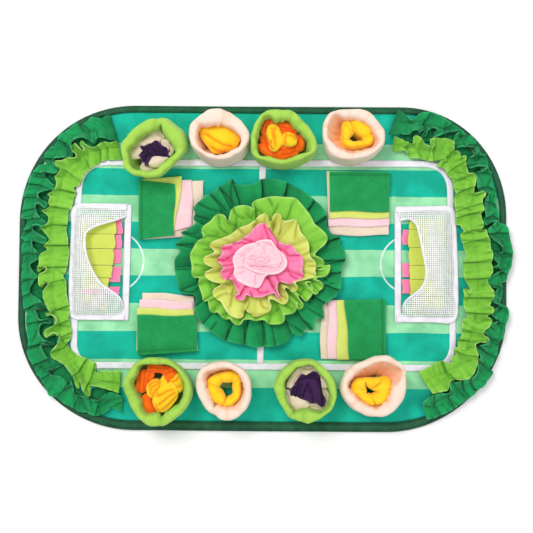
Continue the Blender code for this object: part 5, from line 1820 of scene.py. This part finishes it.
def flower_grid(name, seed):
    """Points of one gathered round layer from its middle over its seam to its read edge.

    The green layer is laid in box pleats. The others rise and fall where their edge loops in and out.
    """
    seam_z, edge_z, spots = FLOWER[name]
    centre = read_at("flower", [FLOWER_CENTRE], edge_z)[0]
    edge = even_steps(read_at("flower", spots, edge_z), FLOWER_STEP, closed=True)
    middle = soften(edge, FLOWER_LOOP_REACH, closed=True)
    even = np.linspace(0, -2 * pi, len(edge), endpoint=False)
    turn = np.unwrap(np.arctan2(*(middle - centre).T[::-1]))
    turn = soften((turn - even)[:, None], 36, closed=True)[:, 0] + even
    way = np.stack([np.cos(turn), np.sin(turn)], -1)
    seam = centre + way * FLOWER_SEAM_RADII[name]
    bulge = ((edge - middle) * unit(middle - centre)).sum(axis=1)
    top = edge_z + np.clip(-bulge * 1.2, -FLOWER_LOOP_LIFT, FLOWER_LOOP_LIFT) * (name != "green")
    numbers, step, tucked = np.arange(len(edge)), np.zeros(len(edge)), np.zeros(len(edge))
    if name == "green":
        degrees = np.degrees(turn) % 360
        cuts = sorted(np.argmin(np.abs((degrees - cut + 180) % 360 - 180)) for cut in FLOWER_PLEATS)
        numbers, rises, parts = pleat_columns(len(edge), cuts, closed=True)
        step = rises * pleat_draw(seed, 0.7, 1.5, parts) * FLOWER_PLEAT_HEIGHT
        # painted shade that differs at random from pleat to pleat, and painted shade where each pleat comes out
        # from under its neighbour
        tone = pleat_draw(seed + 9, 0, 0.28, parts)
        tucked = 1 - (1 - tuck_shade(rises)) * (1 - tone)
    grid, values = [], []
    for reach in FLOWER_ROWS:
        spread = max(reach, 0)
        spot = seam + (middle - seam) * reach + (edge - middle) * spread**1.6
        if reach < 0:
            spot = centre + way * FLOWER_SEAM_RADII[name] * (1 + reach)
        cloth = np.column_stack([way * 0.05, np.full(len(way), reach * 0.010)])
        crossing = soft_field(cloth, 0.010, seed + 50)
        z = seam_z + (top - seam_z) * spread**0.9 - 0.0010 * max(-reach, 0)
        z = z + 0.0009 * crossing * (0.3 + 0.7 * spread)
        spot, z = spot[numbers], z[numbers] + step * (0.5 + 0.5 * spread)
        grid.append(np.column_stack([spot, z]))
        # paler rim at the edge, partly painted highlight
        values.append(np.full(len(numbers), float(np.interp(reach, (0.96, 0.99), (0, 1)))))
    grid, values = np.stack(grid, 1), np.stack(values, 1)
    grid[..., 2] += 0.0005 * soft_field(grid, 0.02, seed)
    lines = {"flower": FLOWER_CREASES[name]}
    pressed = crease(grid, lines, FLOWER_CREASE_DEPTH, FLOWER_CREASE_WIDTHS[name])
    # painted shade in hollows and creases
    fold_shade = np.maximum(hollows(grid, closed=True) * 0.95, pressed * 0.85)
    fold_shade = 1 - (1 - fold_shade) * (1 - tucked)[:, None]
    return grid[::-1], {"edge": (values * (1 - fold_shade))[::-1], "fold_shade": fold_shade[::-1]}


def add_flower():
    for seed, name in enumerate(FLOWER):
        patch = flower_grid(name, SEEDS["flower"] + seed)
        finish, nodes = FLOWER_FINISHES[name], ["flower_" + name]
        piece = add_piece("flower_cloth_" + name, finish, nodes, [patch], FLOWER_CLOTH, closed_u=True)


# ---------------------------------------------------------------- rose, bun and the cups' fillings
# Section of a scrap from the middle of its top down its side: share of the reach, and share of the bulge or,
# below the outline, of the way down to its foot.
MOUND = (
    (0.03, 1.0), (0.14, 0.99), (0.25, 0.97), (0.36, 0.93), (0.47, 0.87), (0.58, 0.78), (0.68, 0.67),
    (0.77, 0.54), (0.85, 0.38), (0.92, 0.20), (0.97, 0.05), (1.0, -0.08), (0.98, -0.4), (0.90, -1.0),
)
MOUND_FOOT = ON_MAT + FLEECE
MOUND_CREASE_DEPTH = 0.0024
MOUND_CREASE_WIDTH = 0.0026
# The paler rim of a scrap, partly painted highlight: the rows of its section on either side of its outline.
MOUND_RIM = slice(10, 12)


def mound(window, outline, z, bulge, creases, shade, seed):
    """A soft folded scrap: a domed top inside a read outline, with its sides down to the mat."""
    edge = even_steps(read_at(window, outline, z), 0.0011, closed=True)
    middle = edge.mean(axis=0)
    rows = []
    for reach, height in MOUND:
        place = middle + (edge - middle) * reach
        up = z + bulge * height if height > 0 else z + (z - MOUND_FOOT) * height
        rows.append(np.column_stack([place, np.full(len(edge), up)]))
    grid = np.stack(rows, 1)
    top = np.array([1.0 if height > -0.1 else 0.0 for _, height in MOUND])
    grid[..., 2] += 0.0008 * soft_field(grid, 0.010, seed) * top
    size = (MOUND_CREASE_DEPTH, MOUND_CREASE_WIDTH)
    fold_shade = crease(grid, {window: creases}, *size, z, step=0.0006, sharp=0.6, top=top)
    # paler rim with painted highlight, and painted shade in the creases
    value = np.zeros(grid.shape[:2])
    value[:, MOUND_RIM] = 0.6
    return grid, {"edge": value * (1 - fold_shade), "fold_shade": shade * fold_shade}


# Each filling's node, window and cloth, and its scraps: outline, height, bulge and creases, as read in the
# photograph.
SCRAPS = {
    ("petals_1", "cup_1", "beige"): (
        (
            (
                (170, 970), (230, 890), (310, 800), (350, 740), (430, 680), (520, 630), (620, 600), (640, 560),
                (720, 530), (790, 490), (845, 500), (870, 590), (900, 640), (930, 700), (880, 740), (800, 790),
                (700, 840), (600, 900), (520, 1000), (480, 1080), (420, 1110), (330, 1120), (250, 1130),
                (210, 1080),
            ),
            0.028, 0.005,
            (
                ((350, 780), (440, 740), (540, 680), (600, 610)), ((230, 920), (320, 900), (420, 840)),
                ((800, 620), (860, 660), (900, 700)),
            ),
        ),
        (
            (
                (860, 800), (880, 740), (960, 720), (1030, 780), (1090, 870), (1120, 950), (1080, 1030),
                (1030, 1060), (990, 1000), (940, 900),
            ),
            0.031, 0.003,
            (((900, 800), (980, 830), (1040, 900), (1060, 980)),),
        ),
        (
            (
                (600, 1180), (640, 1120), (700, 1085), (800, 1075), (900, 1090), (980, 1095), (1010, 1110),
                (950, 1160), (890, 1230), (840, 1280), (760, 1300), (690, 1300), (630, 1270), (600, 1230),
            ),
            0.035, 0.003, (),
        ),
        (
            (
                (430, 1270), (470, 1220), (540, 1180), (640, 1200), (740, 1230), (780, 1300), (720, 1340),
                (640, 1370), (540, 1385), (470, 1360), (430, 1320),
            ),
            0.026, 0.003,
            (((460, 1270), (560, 1290), (700, 1320)),),
        ),
    ),
    ("bud_1", "cup_1", "purple"): (
        (
            (
                (430, 860), (540, 830), (620, 800), (670, 790), (730, 740), (790, 760), (830, 800), (880, 850),
                (960, 880), (1020, 900), (1040, 950), (1010, 1020), (1020, 1090), (950, 1075), (850, 1070),
                (740, 1060), (680, 1080), (620, 1130), (590, 1190), (580, 1260), (520, 1250), (510, 1190),
                (460, 1160), (450, 1110), (400, 1060), (430, 1000), (470, 950), (440, 910),
            ),
            0.034, 0.005,
            (
                ((640, 800), (650, 900), (700, 980), (790, 1030), (950, 1040)),
                ((700, 800), (700, 880), (750, 960), (850, 980), (1000, 940)),
                ((770, 780), (790, 870), (860, 920), (1000, 910)), ((450, 1010), (560, 1010), (660, 1020)),
                ((500, 860), (520, 930), (480, 1000)), ((560, 830), (590, 900), (580, 980)),
                ((520, 1180), (560, 1090), (640, 1050)), ((470, 1120), (540, 1060), (600, 1040)),
            ),
        ),
    ),
    ("petals_3", "cup_3", "orange"): (
        (
            (
                (600, 470), (640, 430), (700, 410), (780, 405), (860, 420), (910, 470), (940, 530), (980, 590),
                (1010, 660), (1000, 720), (900, 700), (800, 690), (700, 660), (650, 560),
            ),
            0.030, 0.005,
            (((630, 500), (720, 540), (840, 560), (950, 600)), ((700, 590), (820, 600), (960, 640))),
        ),
        (
            (
                (350, 500), (400, 380), (450, 370), (480, 390), (510, 370), (550, 430), (600, 490), (560, 540),
                (470, 560), (440, 620), (430, 700), (380, 720), (320, 640), (320, 560),
            ),
            0.030, 0.004,
            (((400, 420), (420, 500), (390, 620)), ((470, 420), (460, 490), (430, 560))),
        ),
        (
            (
                (300, 700), (380, 680), (460, 760), (500, 860), (600, 900), (740, 860), (850, 880), (950, 880),
                (1010, 800), (1060, 720), (1120, 740), (1160, 820), (1170, 900), (1140, 970), (1060, 1020),
                (1010, 1090), (900, 1130), (800, 1160), (700, 1175), (600, 1150), (500, 1110), (420, 1050),
                (340, 900), (305, 800),
            ),
            0.026, 0.005,
            (
                ((400, 780), (440, 900), (540, 1040), (640, 1110)),
                ((640, 960), (760, 1000), (900, 960), (1040, 900)), ((1080, 720), (1060, 840), (1010, 940)),
                ((720, 1080), (850, 1060), (980, 1000)),
            ),
        ),
        (
            (
                (245, 880), (310, 860), (380, 920), (450, 1000), (540, 1090), (500, 1110), (400, 1080),
                (320, 1030), (260, 960),
            ),
            0.029, 0.003, (),
        ),
        (
            (
                (1010, 720), (1070, 690), (1130, 760), (1165, 850), (1150, 960), (1080, 1000), (1010, 960),
                (1010, 860),
            ),
            0.029, 0.003,
            (((1080, 730), (1050, 830), (1060, 930)),),
        ),
    ),
    ("bud_3", "cup_3", "yellow"): (
        (
            (
                (440, 560), (460, 510), (520, 480), (580, 480), (640, 520), (680, 590), (720, 680), (750, 770),
                (750, 860), (700, 900), (650, 960), (600, 1000), (540, 1000), (490, 960), (470, 900),
                (480, 840), (450, 760), (430, 680), (430, 610),
            ),
            0.036, 0.005,
            (
                ((530, 560), (545, 680), (580, 800), (600, 900)), ((600, 540), (570, 640), (600, 760)),
                ((520, 820), (500, 900), (540, 960)),
            ),
        ),
        (
            (
                (740, 680), (780, 640), (850, 630), (910, 650), (970, 690), (1010, 760), (1010, 840),
                (970, 880), (900, 905), (820, 900), (770, 880), (750, 800),
            ),
            0.036, 0.004,
            (((790, 660), (840, 700), (930, 710), (990, 760)), ((800, 720), (780, 800), (800, 870))),
        ),
    ),
    ("petals_5", "cup_5", "orange"): (
        (
            (
                (350, 520), (370, 430), (430, 410), (520, 400), (620, 430), (680, 500), (640, 600), (580, 680),
                (540, 780), (490, 850), (400, 850), (330, 820), (310, 740), (330, 640),
            ),
            0.031, 0.004,
            (
                ((400, 430), (395, 600), (390, 820)), ((500, 420), (490, 600), (480, 820)),
                ((600, 460), (570, 560), (560, 640)),
            ),
        ),
        (
            (
                (540, 340), (600, 300), (700, 290), (800, 300), (900, 320), (1000, 340), (1030, 400),
                (960, 460), (880, 470), (760, 450), (640, 450), (560, 420),
            ),
            0.033, 0.004,
            (((560, 350), (700, 350), (850, 370), (980, 370)), ((600, 420), (740, 410), (880, 440))),
        ),
        (
            (
                (860, 500), (960, 420), (1010, 340), (1080, 360), (1140, 430), (1150, 480), (1080, 560),
                (1000, 640), (940, 660), (900, 580),
            ),
            0.035, 0.004,
            (((930, 480), (1000, 440), (1090, 420)),),
        ),
        (
            (
                (430, 970), (480, 900), (540, 880), (640, 900), (700, 1000), (740, 1120), (800, 1220),
                (830, 1270), (700, 1280), (600, 1305), (500, 1280), (440, 1200), (415, 1100),
            ),
            0.027, 0.005,
            (((640, 960), (660, 1080), (720, 1200)),),
        ),
    ),
    ("bud_5", "cup_5", "yellow"): (
        (
            (
                (530, 760), (570, 680), (640, 610), (720, 595), (800, 620), (850, 540), (885, 520), (920, 600),
                (960, 680), (900, 780), (800, 840), (750, 900), (720, 960), (640, 970), (570, 930), (540, 860),
            ),
            0.037, 0.004,
            (
                ((590, 740), (630, 670), (700, 640), (780, 650)),
                ((620, 880), (620, 800), (670, 730), (740, 700)), ((660, 930), (690, 850), (730, 780)),
                ((820, 640), (790, 730), (750, 830)),
            ),
        ),
        (
            (
                (660, 980), (740, 920), (760, 820), (820, 760), (950, 690), (1000, 650), (1080, 700),
                (1140, 770), (1160, 860), (1150, 960), (1090, 1060), (1000, 1170), (920, 1240), (830, 1255),
                (760, 1245), (700, 1170), (660, 1080),
            ),
            0.040, 0.004,
            (
                ((760, 920), (860, 880), (960, 820), (1060, 800)),
                ((780, 1100), (880, 1020), (990, 930), (1110, 860)),
                ((860, 1190), (960, 1110), (1050, 1020), (1130, 930)), ((720, 1120), (740, 1180), (800, 1230)),
            ),
        ),
        (
            (
                (960, 680), (1000, 600), (1080, 540), (1150, 460), (1200, 520), (1250, 620), (1275, 720),
                (1260, 800), (1180, 860), (1120, 800), (1040, 740),
            ),
            0.036, 0.004,
            (((1020, 640), (1100, 620), (1180, 560)), ((1090, 720), (1160, 740), (1230, 720))),
        ),
    ),
    ("petals_7", "cup_7", "beige"): (
        (
            (
                (350, 770), (370, 660), (430, 560), (500, 460), (570, 390), (650, 370), (690, 420), (640, 540),
                (580, 640), (520, 740), (460, 800), (390, 790),
            ),
            0.031, 0.003,
            (((470, 700), (540, 590), (640, 460)),),
        ),
        (
            (
                (650, 370), (720, 340), (820, 330), (900, 350), (960, 400), (980, 460), (940, 520), (840, 540),
                (720, 540), (660, 460),
            ),
            0.032, 0.003,
            (((690, 380), (780, 400), (880, 390)),),
        ),
        (
            ((1040, 520), (1120, 580), (1180, 680), (1200, 770), (1140, 800), (1060, 760), (1030, 640)),
            0.031, 0.003, (),
        ),
        (
            (
                (1060, 780), (1150, 780), (1190, 850), (1240, 940), (1265, 1040), (1240, 1140), (1190, 1230),
                (1090, 1290), (1000, 1300), (900, 1270), (800, 1240), (820, 1120), (920, 1060), (1040, 1000),
                (1060, 880),
            ),
            0.027, 0.004,
            (((1120, 820), (1180, 960), (1190, 1080)), ((840, 1200), (940, 1180), (1060, 1230))),
        ),
        (
            (
                (350, 840), (320, 920), (330, 1040), (380, 1150), (450, 1250), (540, 1275), (650, 1260),
                (740, 1230), (820, 1150), (760, 1040), (660, 960), (540, 900), (440, 860),
            ),
            0.031, 0.004,
            (((360, 900), (390, 1020), (420, 1130), (480, 1230)),),
        ),
    ),
    ("bud_7", "cup_7", "purple"): (
        (
            (
                (590, 600), (640, 530), (700, 510), (780, 490), (880, 440), (960, 460), (1020, 510),
                (1060, 600), (1070, 700), (1080, 830), (1110, 940), (1150, 1010), (1160, 1080), (1130, 1170),
                (1080, 1190), (1020, 1150), (960, 1110), (860, 1110), (780, 1060), (700, 1040), (600, 1000),
                (560, 970), (480, 990), (430, 960), (420, 880), (450, 800), (500, 740), (540, 660),
            ),
            0.035, 0.006,
            (
                ((600, 700), (560, 830), (540, 960)), ((780, 690), (720, 850), (680, 1000)),
                ((800, 720), (860, 900), (900, 1060)), ((560, 660), (700, 590), (900, 580), (1050, 620)),
                ((1000, 640), (1050, 800), (1080, 960), (1090, 1100)), ((650, 720), (620, 860), (620, 980)),
                ((720, 520), (820, 530), (940, 510)), ((500, 780), (480, 880), (500, 960)),
            ),
        ),
    ),
    ("roll_2", "cup_2", "yellow"): (
        (
            (
                (330, 600), (420, 570), (560, 540), (700, 515), (820, 520), (920, 560), (1020, 650),
                (1100, 730), (1150, 810), (1120, 900), (1080, 980), (980, 1030), (850, 1080), (700, 1110),
                (600, 1110), (540, 1060), (470, 970), (400, 880), (340, 800), (320, 700),
            ),
            0.026, 0.009,
            (
                (
                    (455, 715), (505, 765), (590, 820), (660, 870), (725, 905), (795, 945), (880, 960),
                    (970, 970),
                ),
                ((425, 730), (470, 715)), ((555, 980), (650, 1050), (750, 1080), (855, 1075)),
            ),
        ),
    ),
}


# How much painted shade, in its fold colour, each cloth takes in a crease.
CREASE_SHADE_SHARES = {"beige": 0.55, "purple": 0.95, "orange": 0.7, "yellow": 0.9}


def add_fillings():
    for number, ((node, window, finish), scraps) in enumerate(SCRAPS.items()):
        first, shade = SEEDS["scrap"] + 10 * number, CREASE_SHADE_SHARES[finish]
        patches = [mound(window, *scrap, shade, first + seed) for seed, scrap in enumerate(scraps)]
        piece = add_piece(node + "_cloth", finish, [node], patches, SCRAP_CLOTH, closed_u=True, capped=True)


# Petals of the rose from the outer one in: middle, outline, height of the rim, depth of the bowl, how pale the
# rim is with painted highlight, and how much painted shade lies down in the bowl.
ROSE_PETALS = (
    (
        (720, 860),
        (
            (690, 600), (610, 615), (540, 645), (480, 690), (440, 740), (415, 790), (415, 840), (430, 885),
            (432, 930), (425, 985), (440, 1040), (480, 1080), (540, 1115), (600, 1140), (660, 1155),
            (712, 1168), (745, 1150), (775, 1110), (795, 1060), (812, 1030), (850, 1000), (920, 960),
            (980, 900), (1010, 820), (990, 740), (930, 660), (850, 610), (770, 590),
        ),
        0.0458, 0.0030, 0.5, 0.0,
    ),
    (
        (800, 790),
        (
            (700, 600), (720, 580), (775, 567), (830, 560), (885, 568), (915, 595), (935, 630), (960, 665),
            (1000, 705), (1040, 735), (1075, 785), (1090, 835), (1085, 890), (1050, 935), (1005, 970),
            (950, 990), (880, 996), (800, 990), (735, 975), (675, 955), (620, 930), (580, 905), (560, 860),
            (570, 800), (600, 745), (645, 700), (685, 660), (695, 630),
        ),
        0.0475, 0.0034, 0.7, 0.30,
    ),
    (
        (800, 780),
        (
            (592, 855), (590, 800), (615, 750), (650, 705), (700, 665), (760, 635), (810, 630), (860, 640),
            (905, 665), (950, 695), (990, 735), (1015, 785), (1020, 830), (1000, 870), (955, 900), (905, 905),
            (850, 893), (790, 885), (720, 885), (660, 880), (615, 875),
        ),
        0.0490, 0.0016, 0.25, 0.0,
    ),
    (
        (785, 805),
        (
            (690, 835), (690, 795), (715, 765), (760, 748), (815, 750), (860, 768), (885, 800), (880, 835),
            (845, 858), (800, 862), (750, 862), (710, 855),
        ),
        0.0486, -0.0016, 0.0, 0.0,
    ),
)
# Section of a petal from the middle of its bowl over its rim: share of the reach, share of the bowl, drop.
PETAL_SECTION = (
    (0.05, 1.0, 0.0), (0.20, 1.0, 0.0), (0.35, 0.97, 0.0), (0.50, 0.90, 0.0), (0.62, 0.76, 0.0),
    (0.73, 0.55, 0.0), (0.82, 0.32, 0.0), (0.89, 0.12, 0.0), (0.945, 0.0, 0.0), (0.98, 0.0, 0.0001),
    (1.0, 0.0, 0.0008), (1.0, 0.0, 0.0022), (0.985, 0.0, 0.0045), (0.95, 0.0, 0.0085),
)
ROSE_CREASE_DEPTH = 0.0016
ROSE_CREASE_WIDTH = 0.0013
ROSE_CREASES = (
    ((601, 853), (665, 878), (745, 873), (805, 878), (865, 888), (935, 878), (1004, 858)),
    ((576, 848), (591, 808), (636, 778), (705, 768)),
    ((626, 818), (675, 808), (705, 828)),
    ((685, 848), (715, 863)),
    ((800, 654), (805, 689), (807, 728)),
    ((715, 798), (765, 778), (815, 798), (805, 833), (745, 838)),
    ((845, 778), (865, 818), (845, 858)),
    ((526, 778), (556, 728), (591, 689), (636, 679)),
    ((705, 619), (765, 599), (825, 604), (885, 629), (935, 669)),
    ((964, 679), (1014, 728), (1064, 788)),
    ((526, 888), (561, 943), (536, 978), (516, 988)),
    ((700, 1010), (694, 1060), (700, 1110)),
)


def rose_petal(middle, outline, rim, bowl, rim_highlight, depth, seed):
    """Points of a petal: a shallow bowl, or a low dome where the bowl is negative, with its rim rolled over."""
    centre = read_at("rose", [middle], rim)[0]
    edge = even_steps(read_at("rose", outline, rim), 0.0010, closed=True)
    ripple = 0.0011 * soft_field(edge, 0.011, seed)
    rows = []
    for reach, deep, drop in PETAL_SECTION:
        place = centre + (edge - centre) * reach
        rows.append(np.column_stack([place, rim - bowl * deep - drop + ripple * reach]))
    grid = np.stack(rows, 1)
    grid[..., 2] += 0.0008 * soft_field(grid, 0.007, seed + 1)
    pressed = crease(grid, {"rose": ROSE_CREASES}, ROSE_CREASE_DEPTH, ROSE_CREASE_WIDTH)
    reaches, _, drops = np.array(PETAL_SECTION).T
    # painted shade in the creases and down in the bowl, and painted highlight on the rim
    fold_shade = np.maximum(0.65 * pressed, depth * bell(reaches - 0.78, 0.16))
    rim_shine = rim_highlight * ((reaches > 0.93) & (drops < 0.001))
    return grid, {"edge": rim_shine, "fold_shade": fold_shade * (1 - rim_shine)}


def add_rose():
    patches = [rose_petal(*petal, SEEDS["petal"] + 5 * number) for number, petal in enumerate(ROSE_PETALS)]
    piece = add_piece("rose_cloth", "rose", ["flower_rose"], patches, PETAL_CLOTH, closed_u=True, capped=True)


# ---------------------------------------------------------------- light and floor
FLOOR_HALF = 4
FLOOR_Z = -0.0004


def add_floor():
    mesh = bpy.data.meshes.new("floor")
    corners = [(x * FLOOR_HALF, y * FLOOR_HALF, FLOOR_Z) for x, y in ((-1, -1), (1, -1), (1, 1), (-1, 1))]
    mesh.from_pydata(corners, [], [(0, 1, 2, 3)])
    floor = bpy.data.objects.new("floor", mesh)
    made = Nodes("floor_paper", roughness=0.9)
    colour = made.mix(made.noise(8, 2), linear("FAFAFA"), linear("FDFDFD"))
    mesh.materials.append(made.finish(colour, made.bump(made.noise(300, 2), 0.02, 0.0005)))
    bpy.context.scene.collection.objects.link(floor)


def add_light(name, place, size, power):
    data = bpy.data.lights.new(name, "AREA")
    data.shape = "SQUARE"
    data.size = size
    data.energy = power
    light = bpy.data.objects.new(name, data)
    light.location = place
    light.rotation_mode = "QUATERNION"
    light.rotation_quaternion = (-Vector(place)).to_track_quat("-Z", "Y")
    bpy.context.scene.collection.objects.link(light)


def add_lights():
    world = bpy.data.worlds.new("studio")
    world.use_nodes = True
    world.node_tree.nodes["Background"].inputs["Color"].default_value = (1, 1, 1, 1)
    world.node_tree.nodes["Background"].inputs["Strength"].default_value = 0.57
    bpy.context.scene.world = world
    add_light("key", (-0.7, 0.9, 1.9), 0.9, 25)
    add_light("fill", (1.3, -0.6, 1.8), 1.6, 12)


add_camera()
add_base_mat()
add_binding()
add_tapes()
add_goals()
add_flaps()
add_cups()
add_rolls()
add_fillings()
add_ruffles()
add_flower()
add_rose()
add_floor()
add_lights()
bpy.context.scene.view_settings.view_transform = "Standard"
